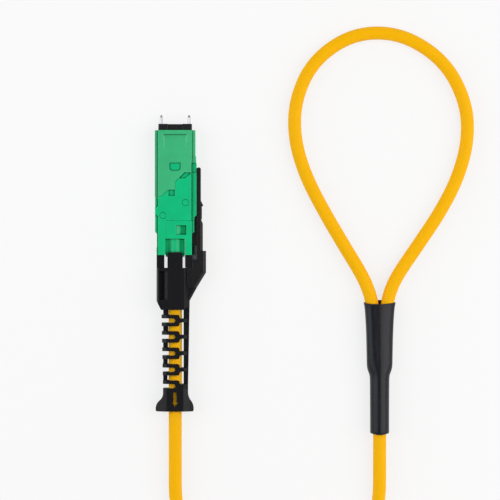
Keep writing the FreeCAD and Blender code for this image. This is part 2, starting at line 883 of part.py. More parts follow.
def ferrule_outline(gap):
    """Two ears joined by a sunk middle; the gap widens the ferrule's section to its way."""
    wide = dim.ferrule_width / 2 + gap
    half = dim.ferrule_thick / 2 + gap
    sunk = half - dim.ear_relief
    under = wide - dim.ear_under - gap * 2
    upper = wide - dim.ear_upper - gap * 2
    big = dim.ear_bevel
    small = dim.ear_edge
    return [
        (big - wide, -half),
        (-under, -half),
        (-under, -sunk),
        (under, -sunk),
        (under, -half),
        (wide - big, -half),
        (wide, big - half),
        (wide, half - small),
        (wide - small, half),
        (upper, half),
        (upper, sunk),
        (-upper, sunk),
        (-upper, half),
        (small - wide, half),
        (-wide, half - small),
        (-wide, big - half),
    ]


def ferrule():
    body = new_body("ferrule")
    wide = dim.ferrule_width / 2
    half = dim.ferrule_thick / 2
    front = dim.ferrule_face
    back = -dim.flange_front - dim.flange_run
    pad(body, "FerruleBody", "XZ_Plane", -dim.flange_front - LAP, front, ferrule_outline(ZERO))
    reach = dim.flange_width / 2
    rise = dim.flange_thick / 2
    pad(body, "Flange", "XZ_Plane", back, -dim.flange_front, rectangle(-reach, reach, -rise, rise))
    slope = [
        (front, half),
        (front - dim.face_drop, -half),
        (front - dim.face_drop, -half - PAST),
        (front + PAST, -half - PAST),
        (front + PAST, half),
    ]
    cut(body, "AngledFace", "YZ_Plane", -wide - PAST, wide + PAST, slope)
    reach = dim.opening_width / 2
    rise = dim.soft_thick / 2
    opening = rectangle(-reach, reach, -rise, rise)
    cut(body, "BootPocket", "XZ_Plane", back, -dim.ferrule_pocket, opening)
    pin_holes(body, back, front)
    return body


def pin_holes(body, low, high):
    """Two holes for the guide pins with a hair of clearance."""
    for side, tag in ((1, "Near"), (-1, "Far")):
        hole = (dim.pin_pitch / 2 * side, ZERO, dim.pin_radius + dim.hair_gap)
        cut(body, f"PinHole{tag}", "XZ_Plane", low, high, hole)


def revolve(body, name, points):
    """Turns an outline about the plug's own axis."""
    sketch = draw(body, f"{name}_outline", "XY_Plane", ZERO, points)
    feature = body.newObject("PartDesign::Revolution", name)
    feature.Profile = sketch
    feature.ReferenceAxis = (sketch, ["V_Axis"])
    feature.Angle = 360
    return feature


def guide_pin(label, side):
    body = new_body(label)
    back = keeper_back() + LAP
    tip = dim.pin_tip
    shape = [
        (ZERO, back),
        (dim.pin_radius, back),
        (dim.pin_radius, tip - dim.pin_nose),
        (dim.pin_bulge, tip - dim.pin_bulge_back),
        (dim.pin_flat, tip),
        (ZERO, tip),
    ]
    revolve(body, "Pin", shape)
    bind(body, "Placement.Base.x", dim.pin_pitch / 2 * side)
    return body


def keeper_front():
    return -dim.flange_front - dim.flange_run - dim.hair_gap * 2


def keeper_back():
    return keeper_front() - dim.keeper_run


def pin_keeper():
    body = new_body("pin_keeper")
    wide = dim.keeper_width / 2
    half = dim.keeper_thick / 2
    pad(body, "Keeper", "XZ_Plane", keeper_back(), keeper_front(), rectangle(-wide, wide, -half, half))
    wide = dim.opening_width / 2
    half = dim.opening_thick / 2
    way = rectangle(-wide, wide, -half, half)
    cut(body, "RibbonWay", "XZ_Plane", keeper_back(), keeper_front(), way)
    pin_holes(body, keeper_back(), keeper_front())
    return body


def ferrule_boot():
    body = new_body("ferrule_boot")
    gap = dim.hair_gap * 2
    front = -dim.ferrule_pocket - gap
    back = -dim.soft_end
    wide = dim.opening_width / 2 - gap
    half = dim.soft_thick / 2 - gap
    pad(body, "BootBlock", "XZ_Plane", back, front, rectangle(-wide, wide, -half, half))
    wide = dim.ribbon_width / 2 + dim.fit_gap
    half = dim.ribbon_thick / 2 + dim.fit_gap
    cut(body, "RibbonSlot", "XZ_Plane", back, front, rectangle(-wide, wide, -half, half))
    return body


def rounded(x, width, thick, radius):
    """Rounded rectangle about the middle plane, four sides and four arcs."""
    right = x + width / 2
    left = x - width / 2
    top = thick / 2
    return [
        (left + radius, -top),
        (right - radius, -top, radius),
        (right, radius - top),
        (right, top - radius, radius),
        (right - radius, top),
        (left + radius, top, radius),
        (left, top - radius),
        (left, radius - top, radius),
    ]


def fibre_ribbon():
    body = new_body("fibre_ribbon")
    front = -dim.ferrule_pocket - dim.ferrule_float - dim.fit_gap * 2
    flat = rounded(ZERO, dim.ribbon_width, dim.ribbon_thick, dim.ribbon_thick * NEAR_HALF)
    pad(body, "FlatRibbon", "XZ_Plane", -dim.ribbon_flat, front, flat)
    across = dim.bundle_radius * 2
    bundle = rounded(ZERO, across, across, across * NEAR_HALF)
    first = draw(body, "FlatEnd", "XZ_Plane", dim.ribbon_flat, flat)
    last = draw(body, "RoundEnd", "XZ_Plane", dim.ribbon_round, bundle)
    loft = body.newObject("PartDesign::AdditiveLoft", "Gather")
    loft.Profile = first
    loft.Sections = [last]
    loft.Ruled = True
    pad(body, "RoundBundle", "XZ_Plane", -dim.barrel_end, -dim.ribbon_round, bundle)
    return body


def ferrule_spring():
    wire = dim.wire_radius
    turn = FreeCAD.Rotation(Vector(1, 0, 0), -90)
    start = -dim.spring_seat + wire + dim.fit_gap
    helix = doc.addObject("Part::Helix", "SpringPath")
    bind(helix, "Radius", dim.coil_radius)
    bind(helix, "Pitch", dim.coil_pitch)
    bind(helix, "Height", keeper_back() - dim.fit_gap - wire - start)
    helix.Placement = FreeCAD.Placement(Vector(0, 0, 0), turn)
    bind(helix, "Placement.Base.y", start)
    section = doc.addObject("Part::RegularPolygon", "SpringWire")
    section.Polygon = WIRE_FLATS
    bind(section, "Circumradius", wire)
    section.Placement = FreeCAD.Placement(Vector(0, 0, 0), FreeCAD.Rotation(Vector(0, 0, 1), 0))
    bind(section, "Placement.Base.x", dim.coil_radius)
    bind(section, "Placement.Base.y", start)
    doc.recompute()
    spring = doc.addObject("Part::Sweep", "ferrule_spring")
    spring.Label = "ferrule_spring"
    spring.Sections = [section]
    spring.Spine = (helix, [f"Edge{n + 1}" for n in range(len(helix.Shape.Edges))])
    spring.Solid = True
    spring.Frenet = True
    made.append(spring)
    return spring


def tube_of_revolution(label, inner, outer, back, front):
    body = new_body(label)
    shape = [(inner, back), (outer, back), (outer, front), (inner, front)]
    revolve(body, label.title().replace("_", ""), shape)
    return body


def crimp_ring():
    inner = dim.ring_radius - dim.ring_wall
    return tube_of_revolution("crimp_ring", inner, dim.ring_radius, -dim.ring_end, -dim.ring_front)


def strength_yarn():
    inner = dim.barrel_radius + dim.hair_gap
    outer = dim.ring_radius - dim.ring_wall - dim.hair_gap
    front = -dim.neck_end - dim.fit_gap * 2
    return tube_of_revolution("strength_yarn", inner, outer, -dim.barrel_end, front)


def flare(run, reach):
    """Radius of each half of an S-shaped flare."""
    return (run * run + reach * reach) / (reach * 2)


def push_pull_boot():
    body = new_body("push_pull_boot")
    half = dim.boot_thick / 2
    edge = dim.spine_inner + dim.fit_gap
    boot_shell(body, half, edge)
    boot_ribs(body, half, edge)
    boot_spine(body, half, edge)
    boot_grips(body, half)
    boot_openings(body, half)
    return body


def boot_shell(body, half, edge):
    """Head, slab of the ribs and flared foot, with their slanted and rounded edges."""
    front = -dim.head_front
    end = -dim.head_end
    head = [
        (-dim.head_left, front),
        (-dim.head_left, -dim.head_taper),
        (-dim.rib_left - dim.fit_gap, end),
        (edge, end),
        (dim.head_right, end + dim.head_corner),
        (dim.head_right, front),
    ]
    pad(body, "Head", "XY_Plane", -half, half, head)
    for tag, side, low, high in mirrored(ZERO, half):
        top = half * side
        run, drop = dim.wall_slant, dim.wall_drop * -side
        bevel(body, f"HeadWall{tag}", end, front, -dim.head_left, top, run, drop)
        run, drop = -dim.head_slant, dim.head_slant * -side
        bevel(body, f"HeadEdge{tag}", end, front, dim.head_right, top, run, drop)
    slab = [
        (-dim.rib_left, end + LAP),
        (-dim.rib_left_low, -dim.foot_top - LAP),
        (edge, -dim.foot_top - LAP),
        (edge, end + LAP),
    ]
    pad(body, "RibSlab", "XY_Plane", -half, half, slab)
    run = dim.flare_run
    neck = -dim.foot_top - dim.foot_neck
    bottom = -dim.foot_end
    curve = dim.foot_round
    left = (dim.foot_left - dim.rib_left_low) / 2
    right = (dim.foot_right - dim.spine_low) / 2
    foot = [
        (-dim.rib_left_low, -dim.foot_top),
        (-dim.rib_left_low, neck, -flare(run, left)),
        (-dim.rib_left_low - left, neck - run, flare(run, left)),
        (-dim.foot_left, neck - run * 2),
        (-dim.foot_left, bottom + curve, curve),
        (curve - dim.foot_left, bottom),
        (dim.foot_right - curve, bottom, curve),
        (dim.foot_right, bottom + curve),
        (dim.foot_right, neck - run * 2, flare(run, right)),
        (dim.spine_low + right, neck - run, -flare(run, right)),
        (dim.spine_low, neck),
        (dim.spine_low, -dim.foot_top),
    ]
    pad(body, "Foot", "XY_Plane", -half, half, foot)
    for tag, side, low, high in mirrored(ZERO, half):
        for name, way in (("Near", 1), ("Far", -1)):
            round_off = foot_corner(half, side, way)
            cut(body, f"FootRound{name}{tag}", "XZ_Plane", bottom, -dim.foot_top, round_off)
        run, drop = dim.rib_slant, dim.rib_drop * -side
        top = half * side
        bevel(body, f"RibEdge{tag}", -dim.foot_top, end, -dim.rib_left, top, run, drop)


def foot_corner(half, side, way):
    """What is taken off one corner of the foot's section to leave it round."""
    flat = dim.foot_flat * way
    out = (dim.foot_flat + dim.foot_reach) * way
    past = (dim.foot_flat + dim.foot_reach + PAST) * way
    low = (half - dim.foot_drop) * side
    top = (half + PAST) * side
    return [
        (flat, half * side, dim.foot_curve * (-side * way)),
        (out, low),
        (past, low),
        (past, top),
        (flat, top),
    ]


def boot_ribs(body, half, edge):
    """Tunnel round the cable, windows between the ribs and posts on the far side."""
    low = -dim.boot_thick
    top = dim.boot_thick
    wall = half - dim.rib_wall
    right = edge + LAP
    tunnel = rectangle(-dim.rib_inner, right, -wall, wall)
    cut(body, "Tunnel", "XZ_Plane", -dim.foot_top, -dim.head_end, tunnel)
    gap = dim.rib_gap / 2
    blend = (dim.rib_pitch / 2 - dim.stem_height / 2 - gap) / 2
    root = dim.rib_root
    far = -dim.head_left
    centre = -dim.rib_first
    lower = [
        (far, centre - gap),
        (root, centre - gap, -blend),
        (root + blend, centre - gap - blend, blend),
        (root + blend * 2, centre - gap - blend * 2),
        (right, centre - gap - blend * 2),
    ]
    first = [(far, -dim.head_end)] + lower + [(right, -dim.head_end)]
    cut(body, "FirstGap", "XY_Plane", low, top, first)
    centre = -dim.rib_first - dim.rib_pitch
    gaps = [
        (far, centre + gap),
        (far, centre - gap),
        (root, centre - gap, -blend),
        (root + blend, centre - gap - blend, blend),
        (root + blend * 2, centre - gap - blend * 2),
        (right, centre - gap - blend * 2),
        (right, centre + gap + blend * 2),
        (root + blend * 2, centre + gap + blend * 2, blend),
        (root + blend, centre + gap + blend, -blend),
        (root, centre + gap),
    ]
    repeat_back(body, "GapRow", cut(body, "RibGap", "XY_Plane", low, top, gaps), RIBS - 1, dim.rib_pitch)
    middle = -dim.rib_first - dim.rib_pitch / 2
    slit = dim.rib_slot / 2
    slots = [
        (far, middle + slit),
        (far, middle - slit),
        (dim.slot_end - slit, middle - slit, slit),
        (dim.slot_end, middle, slit),
        (dim.slot_end - slit, middle + slit),
    ]
    repeat_back(body, "SlotRow", cut(body, "RibSlot", "XY_Plane", low, top, slots), RIBS, dim.rib_pitch)
    reach = dim.post_width / 2
    centre = -dim.rib_first
    post = rectangle(-dim.rib_left_low, -dim.post_inner, centre - gap - LAP, centre + gap + LAP)
    repeat_back(body, "PostRow", pad(body, "RibPost", "XY_Plane", -reach, reach, post), RIBS, dim.rib_pitch)
    last = -dim.foot_top - LAP
    trim = [
        (-dim.post_inner, -dim.post_straight),
        (-dim.post_low, last),
        (ZERO, last),
        (ZERO, -dim.post_straight),
    ]
    cut(body, "PostTrim", "XY_Plane", -reach, reach, trim)


def boot_spine(body, half, edge):
    """Tapering spine on the latch side, its stems and the wedge under the arm."""
    reach = dim.spine_top_width / 2
    tip = dim.spine_low_width / 2
    neck = -dim.foot_top - dim.foot_neck
    start = -dim.wedge_top - PAST
    last = neck + LAP
    spine = [
        (start, -reach),
        (-dim.head_end, -reach),
        (last, -tip),
        (last, tip),
        (-dim.head_end, reach),
        (start, reach),
    ]
    pad(body, "Spine", "YZ_Plane", dim.spine_inner, dim.spine_outer, spine)
    out = dim.spine_outer + LAP
    slant = [
        (dim.spine_outer, -dim.head_taper),
        (dim.spine_low, -dim.foot_top),
        (dim.spine_low, neck),
        (out, neck),
        (out, -dim.head_taper),
    ]
    cut(body, "SpineTaper", "XY_Plane", -reach, reach, slant)
    wall = half - dim.fit_gap
    stem = dim.stem_height / 2
    middle = -dim.rib_first - dim.rib_pitch / 2
    bar = rectangle(edge - LAP, dim.stem_end, middle - stem, middle + stem)
    repeat_back(body, "StemRow", pad(body, "Stem", "XY_Plane", -wall, wall, bar), RIBS, dim.rib_pitch)
    for tag, side, low, high in mirrored(ZERO, wall):
        run, drop = -dim.stem_slant, dim.stem_drop * -side
        bevel(body, f"StemEnd{tag}", -dim.foot_top, -dim.head_end, dim.stem_end, wall * side, run, drop)
    reach = dim.wedge_width / 2
    inner = dim.head_right - dim.head_slant - LAP
    low = -dim.head_end + dim.head_corner + LAP
    wedge = [
        (inner, -dim.wedge_top),
        (dim.wedge_out, -dim.wedge_top),
        (dim.spine_outer, -dim.head_taper),
        (dim.spine_outer, low),
        (inner, low),
    ]
    crowned(body, "Wedge", reach, dim.wedge_edge, wedge, (1, 2, 3))
    foot = dim.head_right + dim.ramp_run
    for tag, side, below, above in mirrored(reach - LAP, half - dim.head_slant):
        ramp = [
            (inner, (reach - LAP) * side),
            (foot, (reach - LAP) * side),
            (foot, reach * side),
            (dim.head_right, (half - dim.head_slant) * side),
            (inner, (half - dim.head_slant) * side),
        ]
        pad(body, f"WedgeRamp{tag}", "XZ_Plane", low, -dim.wedge_top, ramp)


def boot_grips(body, half):
    """Two broad fingers, the tee on the far side and the tongue that locks the arm."""
    root = -dim.head_front - LAP
    wide = dim.finger_width / 2
    curve = dim.finger_round
    tipped = [
        (-wide, root),
        (wide, root),
        (wide, -dim.finger_front - curve, curve),
        (wide - curve, -dim.finger_front),
        (curve - wide, -dim.finger_front, curve),
        (-wide, -dim.finger_front - curve),
    ]
    for tag, side, below, above in mirrored(dim.finger_lift, half):
        pad(body, f"Finger{tag}", "XY_Plane", below, above, tipped)
    neck = dim.tee_neck / 2
    wide = dim.tee_width / 2
    front = -dim.tee_front
    shoulder = front - dim.tee_depth
    curve = dim.tee_round
    tee = [
        (root, -neck),
        (shoulder - wide + neck, -neck),
        (shoulder, -wide),
        (front - curve, -wide, curve),
        (front, curve - wide),
        (front, wide - curve, curve),
        (front - curve, wide),
        (shoulder, wide),
        (shoulder - wide + neck, neck),
        (root, neck),
    ]
    pad(body, "Tee", "YZ_Plane", -dim.head_left, -dim.tee_inner, tee)
    lock = dim.arm_slot_width / 2 - dim.lock_gap
    tongue = rectangle(
        dim.head_right - dim.head_slant - LAP,
        dim.wedge_out + dim.lock_rise,
        -dim.arm_slot_back + dim.lock_gap * 2,
        -dim.arm_slot_front - dim.lock_gap * 2,
    )
    pad(body, "LockTongue", "XY_Plane", -lock, lock, tongue)


def boot_openings(body, half):
    """Bores, side pockets of the head, arrow windows of the foot and round mould marks."""
    ring = (ZERO, ZERO, dim.boot_bore)
    cut(body, "RingBore", "XZ_Plane", -dim.cavity_end, -dim.finger_front + LAP, ring)
    bore = (ZERO, ZERO, dim.cable_radius + dim.cable_gap)
    cut(body, "CableBoreHead", "XZ_Plane", -dim.head_end - LAP, -dim.cavity_end + LAP, bore)
    cut(body, "CableBoreFoot", "XZ_Plane", -dim.foot_end, -dim.foot_top + LAP, bore)
    start = -dim.head_front - dim.pocket_lip
    for tag, side, low, high in mirrored(dim.cable_radius / 2, half + LAP):
        pocket = [
            (-dim.pocket_outer, (half + LAP) * side),
            (-dim.pocket_outer, dim.pocket_web * side),
            (-dim.pocket_inner - dim.pocket_slant, dim.pocket_web * side),
            (-dim.pocket_inner - dim.pocket_slant, (half - dim.pocket_edge - dim.pocket_fall) * side),
            (-dim.pocket_inner, (half - dim.pocket_edge) * side),
            (-dim.pocket_inner, (half + LAP) * side),
        ]
        cut(body, f"SidePocket{tag}", "XZ_Plane", -dim.cavity_end, start, pocket)
        heads = 1 if side > 0 else 2
        cut(body, f"Arrow{tag}", "XY_Plane", low, high, arrow(heads))
    deep = half - dim.mark_depth
    marks = (
        ("HeadMark", ZERO, dim.head_mark_back, dim.head_mark_radius),
        ("FootMarkNear", dim.foot_mark_x, dim.foot_mark_first, dim.foot_mark_radius),
        ("FootMarkFar", -dim.foot_mark_x, dim.foot_mark_last, dim.foot_mark_radius),
    )
    for name, x, back, radius in marks:
        cut(body, name, "XY_Plane", -OVER, -deep, (x, -back, radius))


def arrow(heads):
    """Arrow towards the cable end, with a second head towards the plug on one face."""
    head = dim.arrow_head
    wide = dim.arrow_width / 2
    shaft = dim.arrow_shaft / 2
    upper = -dim.arrow_front
    under = -dim.arrow_back
    if heads == 1:
        wide = dim.pointer_width / 2
        shaft = dim.pointer_shaft / 2
        start = [(shaft, upper), (-shaft, upper)]
    else:
        start = [(shaft, upper - head), (wide, upper - head), (ZERO, upper)]
        start += [(-wide, upper - head), (-shaft, upper - head)]
    end = [(-shaft, under + head), (-wide, under + head), (ZERO, under)]
    end += [(wide, under + head), (shaft, under + head)]
    return start + end


def latch_arm():
    body = new_body("latch_arm")
    half = dim.arm_width / 2
    inner = dim.arm_inner
    outer = dim.arm_outer
    front = -dim.arm_front
    curve = dim.arm_tip
    back = -dim.shroud_front - LAP
    strip = [
        (inner, front - curve, -curve),
        (inner + curve, front),
        (outer - curve, front, -curve),
        (outer, front - curve),
        (outer, back),
        (inner, back),
    ]
    pad(body, "Strip", "XY_Plane", -half, half, strip)
    root = outer - LAP
    arm_barb(body, root, outer)
    reach = dim.block_width / 2
    block = [
        (root, -dim.block_front),
        (outer, -dim.block_front),
        (dim.block_top, -dim.block_front - dim.block_run),
        (dim.block_top, back),
        (root, back),
    ]
    pad(body, "Block", "XY_Plane", -reach, reach, block)
    for tag, side, low, high in mirrored(ZERO, reach):
        slant = dim.block_slant
        name = f"BlockEdge{tag}"
        bevel(body, name, back, -dim.block_front, dim.block_top, reach * side, -slant, slant * -side)
    arm_shroud(body)
    arm_rib(body)
    wide = dim.arm_slot_width / 2
    slot = [
        (-dim.arm_slot_back + wide, -wide),
        (-dim.arm_slot_front - wide, -wide, wide),
        (-dim.arm_slot_front, ZERO, wide),
        (-dim.arm_slot_front - wide, wide),
        (-dim.arm_slot_back + wide, wide, wide),
        (-dim.arm_slot_back, ZERO, wide),
    ]
    cut(body, "LockSlot", "YZ_Plane", dim.head_right - PAST, dim.shroud_top + PAST, slot)
    return body


def arm_barb(body, root, outer):
    """Barb that narrows towards its crest, and the shaped neck behind it."""
    reach = dim.barb_width / 2
    barb = [
        (root, -dim.barb_front),
        (outer, -dim.barb_front),
        (dim.barb_top, -dim.barb_apex),
        (dim.barb_top, -dim.barb_apex - dim.barb_flat),
        (outer, -dim.barb_back),
        (root, -dim.barb_back),
    ]
    pad(body, "Barb", "XY_Plane", -reach, reach, barb)
    for tag, side, low, high in mirrored(dim.barb_crest / 2, reach):
        side_cut = [
            (-dim.barb_front, reach * side),
            (-dim.barb_back, dim.barb_crest / 2 * side),
            (-dim.barb_back, (reach + LAP) * side),
            (-dim.barb_front, (reach + LAP) * side),
        ]
        cut(body, f"BarbSide{tag}", "YZ_Plane", outer, dim.barb_top + PAST, side_cut)
    start = -dim.barb_back + LAP
    neck = dim.arm_neck / 2
    bump = dim.arm_bump / 2
    waist = dim.arm_waist / 2
    middle = -dim.bump_front - dim.bump_run / 2
    far = -dim.bump_front - dim.bump_run
    end = -dim.block_front - LAP
    side = [(-dim.bump_front, neck), (middle, bump), (far, bump), (-dim.waist_back, waist), (end, waist)]
    outline = [(start, -neck)] + [(y, -z) for y, z in side]
    outline += [(y, z) for y, z in reversed(side)] + [(start, neck)]
    pad(body, "ArmNeck", "YZ_Plane", root, outer + dim.neck_lift, outline)


def arm_shroud(body):
    """Shroud over the boot's wedge, with slanted outer edges."""
    reach = dim.shroud_width / 2
    seat = dim.head_right + dim.hair_gap * 2
    base = -dim.wedge_top + dim.hair_gap
    clear = dim.latch_leg + dim.fit_gap * 2
    behind = -dim.head_front - LAP
    top = dim.shroud_top
    shroud = [
        (dim.arm_inner, -dim.shroud_front),
        (top, -dim.shroud_front),
        (top, -dim.shroud_slant),
        (dim.wedge_out, base),
        (seat, base),
        (seat, behind),
        (clear, behind),
        (clear, -dim.gusset_back),
        (dim.arm_inner, -dim.gusset_back),
    ]
    crowned(body, "Shroud", reach, dim.shroud_edge, shroud, (1, 2, 3))
    gusset = [
        (clear, -dim.gusset_inner / 2),
        (dim.arm_inner + LAP, -dim.gusset_outer / 2),
        (dim.arm_inner + LAP, dim.gusset_outer / 2),
        (clear, dim.gusset_inner / 2),
    ]
    pad(body, "Gusset", "XZ_Plane", -dim.gusset_back - LAP, -dim.gusset_front, gusset)


def arm_rib(body):
    """Rib that runs in the housing's channel and reaches in front of the boot's head."""
    reach = dim.channel_width / 2 - dim.fit_gap * 2
    shelf = dim.latch_face - dim.channel_depth + dim.fit_gap * 2
    stop = -dim.fork_start - dim.boot_travel - dim.fit_gap * 4
    seat = dim.head_right + dim.hair_gap * 2
    root = dim.arm_inner + LAP
    behind = -dim.head_front - dim.rib_foot
    before = -dim.head_front + dim.fit_gap
    rib = [
        (shelf, -dim.step_first),
        (root, -dim.step_first),
        (root, behind),
        (seat, behind),
        (seat, before),
        (dim.rib_reach, before),
        (dim.rib_reach, stop),
        (dim.latch_leg, stop),
        (dim.latch_leg, rib_step()),
        (shelf, rib_step()),
    ]
    pad(body, "InnerRib", "XY_Plane", -reach, reach, rib)


def route(points):
    """Straight runs joined by tangent arcs, as one wire, with the arc radii."""
    edges = []
    radii = []
    last = points[0]
    for before, corner, after in zip(points, points[1:], points[2:]):
        into = (corner - before).normalize()
        away = (after - corner).normalize()
        turn = into.getAngle(away)
        reach = CORNER_SHARE * min((corner - before).Length, (after - corner).Length)
        radius = reach / math.tan(turn / 2)
        radii.append(radius)
        start = corner - into * reach
        stop = corner + away * reach
        middle = (away - into).normalize() * (radius / math.cos(turn / 2) - radius) + corner
        edges.append(Part.LineSegment(last, start).toShape())
        edges.append(Part.Arc(start, middle, stop).toShape())
        last = stop
    edges.append(Part.LineSegment(last, points[-1]).toShape())
    return Part.Wire(edges), radii


def cord(label, points, radius):
    """A round cable along a route, with its volume compared with its length."""
    wire, radii = route(points)
    heading = (points[1] - points[0]).normalize()
    section = Part.Wire(Part.Circle(points[0], heading, radius).toShape())
    solid = wire.makePipeShell([section], True, True)
    thing = doc.addObject("Part::Feature", label)
    thing.Label = label
    thing.Shape = solid
    thing.Placement = FreeCAD.Placement()
    made.append(thing)
    expected = math.pi * radius * radius * wire.Length
    print(f"{label}: length {wire.Length:.1f}, volume ratio {solid.Volume / expected:.4f},"
          f" smallest radius {min(radii):.1f}")
    return thing


TRUNK_ROUTE = [
    (0.0, -62.0, 0.0),
    (0.4, -73.0, -0.5),
    (6.6, -85.0, -0.6),
    (19.5, -91.0, -0.6),
    (32.4, -85.0, -0.6),
    (38.6, -73.0, -0.5),
    (39.0, -61.0, 0.0),
]
LOOP_ROUTE = [
    (-1.81, 1.75, -0.02),
    (-3.19, 5.18, -0.08),
    (-7.0, 11.4, -0.22),
    (-10.8, 17.9, -0.4),
    (-14.2, 24.5, -0.6),
    (-16.3, 31.6, -0.6),
    (-16.1, 38.8, -0.6),
    (-13.0, 45.8, -0.6),
    (-6.9, 50.6, -0.6),
    (-0.4, 52.0, -0.6),
    (6.0, 50.5, -0.6),
    (12.4, 45.6, -0.6),
    (16.3, 38.4, -0.6),
    (16.9, 31.6, -0.6),
    (15.2, 24.5, -0.6),
    (11.9, 17.9, -0.4),
    (7.4, 11.2, -0.22),
    (3.23, 5.17, -0.08),
    (1.81, 1.75, -0.02),
]


def trunk_cable():
    points = [Vector(0, -dim.held_end.value, 0)]
    points += [Vector(*p) for p in TRUNK_ROUTE]
    points.append(Vector(dim.sleeve_x.value, trunk_end().value, 0))
    return cord("trunk_cable", points, dim.cable_radius.value)


def trunk_end():
    return -dim.sleeve_top - dim.sleeve_length + dim.trunk_depth


def loop_cable():
    x = dim.sleeve_x.value
    y = -dim.sleeve_top.value
    reach = dim.leg_spacing.value / 2
    depth = dim.leg_depth.value
    bend = dim.leg_straight.value
    points = [Vector(x - reach, y - depth, 0), Vector(x - reach, y - bend, 0)]
    points += [Vector(x + p[0], y + p[1], p[2]) for p in LOOP_ROUTE]
    points += [Vector(x + reach, y - bend, 0), Vector(x + reach, y - depth, 0)]
    return cord("loop_cable", points, dim.cable_radius.value)


def fibre_group(label, side):
    """Half of the trunk's fibres, which run inside the sleeve into one leg of the loop."""
    x = dim.sleeve_x.value
    start = trunk_end().value + dim.fit_gap.value
    end = -dim.sleeve_top.value - dim.leg_depth.value - dim.fit_gap.value
    run = end - start
    near = dim.group_spacing.value / 2
    wide = dim.leg_spacing.value / 2
    points = [
        Vector(x + near * side, start, 0),
        Vector(x + (near + dim.group_ease.value) * side, start + run * 0.27, 0),
        Vector(x + (wide - dim.group_ease.value * 2) * side, start + run * 0.71, 0),
        Vector(x + wide * side, end, 0),
    ]
    return cord(label, points, dim.group_radius.value)


def cable_held():
    body = new_body("cable_held")
    start = -dim.barrel_end - dim.fit_gap * 4
    pad(body, "Jacket", "XZ_Plane", -dim.held_end, start, (ZERO, ZERO, dim.cable_radius))
    return body


def shrink_sleeve():
    body = new_body("shrink_sleeve")
    x = dim.sleeve_x
    top = dim.sleeve_top
    waist = dim.sleeve_waist
    thick = dim.sleeve_thick
    full = dim.sleeve_lift * 2
    stations = [
        (ZERO, dim.sleeve_width, thick),
        (dim.mouth_run, dim.mouth_width, thick),
        (dim.flare_end, dim.flare_width, thick),
        (dim.waist_start, waist, thick),
        (dim.shoulder_start, waist - LAP, thick),
        (dim.shoulder_middle, (waist + full) / 2 + LAP, (thick + full) / 2),
        (dim.shoulder_end, full, full),
        (dim.sleeve_length, dim.sleeve_low * 2, dim.sleeve_low * 2),
    ]
    sketches = []
    for index, (back, width, high) in enumerate(stations):
        shape = rounded(x, width, high, high * NEAR_HALF)
        sketches.append(draw(body, f"Ring{index}", "XZ_Plane", top + back, shape))
    loft = body.newObject("PartDesign::AdditiveLoft", "Sleeve")
    loft.Profile = sketches[0]
    loft.Sections = sketches[1:]
    loft.Ruled = True
    bore = dim.cable_radius * 2 + dim.fit_gap
    deep = rounded(x, dim.leg_spacing + bore, bore, bore * NEAR_HALF)
    cut(body, "LegBore", "XZ_Plane", -top - dim.leg_depth, -top - dim.leg_bend, deep)
    mouth = rounded(x, dim.leg_splay + bore, bore, bore * NEAR_HALF)
    splay = body.newObject("PartDesign::SubtractiveLoft", "LegSplay")
    splay.Profile = draw(body, "Mouth", "XZ_Plane", top, mouth)
    splay.Sections = [draw(body, "MouthRoot", "XZ_Plane", top + dim.leg_bend, deep)]
    splay.Ruled = True
    end = -top - dim.sleeve_length
    hole = (x, ZERO, dim.cable_radius + dim.hair_gap * 2)
    cut(body, "TrunkBore", "XZ_Plane", end, trunk_end(), hole)
    # way inside for the two groups of fibres, from the trunk to the legs
    high = (dim.group_radius + dim.fit_gap * 2) * 2
    way = rounded(x, dim.leg_spacing + high, high, high * NEAR_HALF)
    cut(body, "SplitWay", "XZ_Plane", trunk_end() - LAP, -top - dim.leg_depth + LAP, way)
    return body


def build():
    front_housing()
    rear_housing()
    crimp_body()
    ferrule()
    guide_pin("guide_pin_near", 1)
    guide_pin("guide_pin_far", -1)
    pin_keeper()
    ferrule_boot()
    fibre_ribbon()
    ferrule_spring()
    crimp_ring()
    strength_yarn()
    push_pull_boot()
    latch_arm()
    cable_held()
    trunk_cable()
    loop_cable()
    fibre_group("fibre_group_near", 1)
    fibre_group("fibre_group_far", -1)
    shrink_sleeve()
    doc.recompute()


def write_parts():
    """Stops on any broken feature, then writes one STEP file per piece."""
    faults = []
    for thing in doc.Objects:
        if "Invalid" in thing.State or "Error" in thing.State:
            faults.append(f"{thing.Label}: {thing.State}")
    for thing in made:
        if thing.Shape.isNull() or not thing.Shape.isValid():
            faults.append(f"{thing.Label}: no valid shape")
        elif len(thing.Shape.Solids) != 1:
            faults.append(f"{thing.Label}: {len(thing.Shape.Solids)} solids")
    if faults:
        raise RuntimeError("; ".join(faults))
    os.makedirs("parts", exist_ok=True)
    for thing in made:
        thing.Shape.exportStep(f"parts/{thing.Label}.step")
        print(f"{thing.Label}: {thing.Shape.Volume:.2f} mm3")


build()
write_parts()
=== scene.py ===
import math

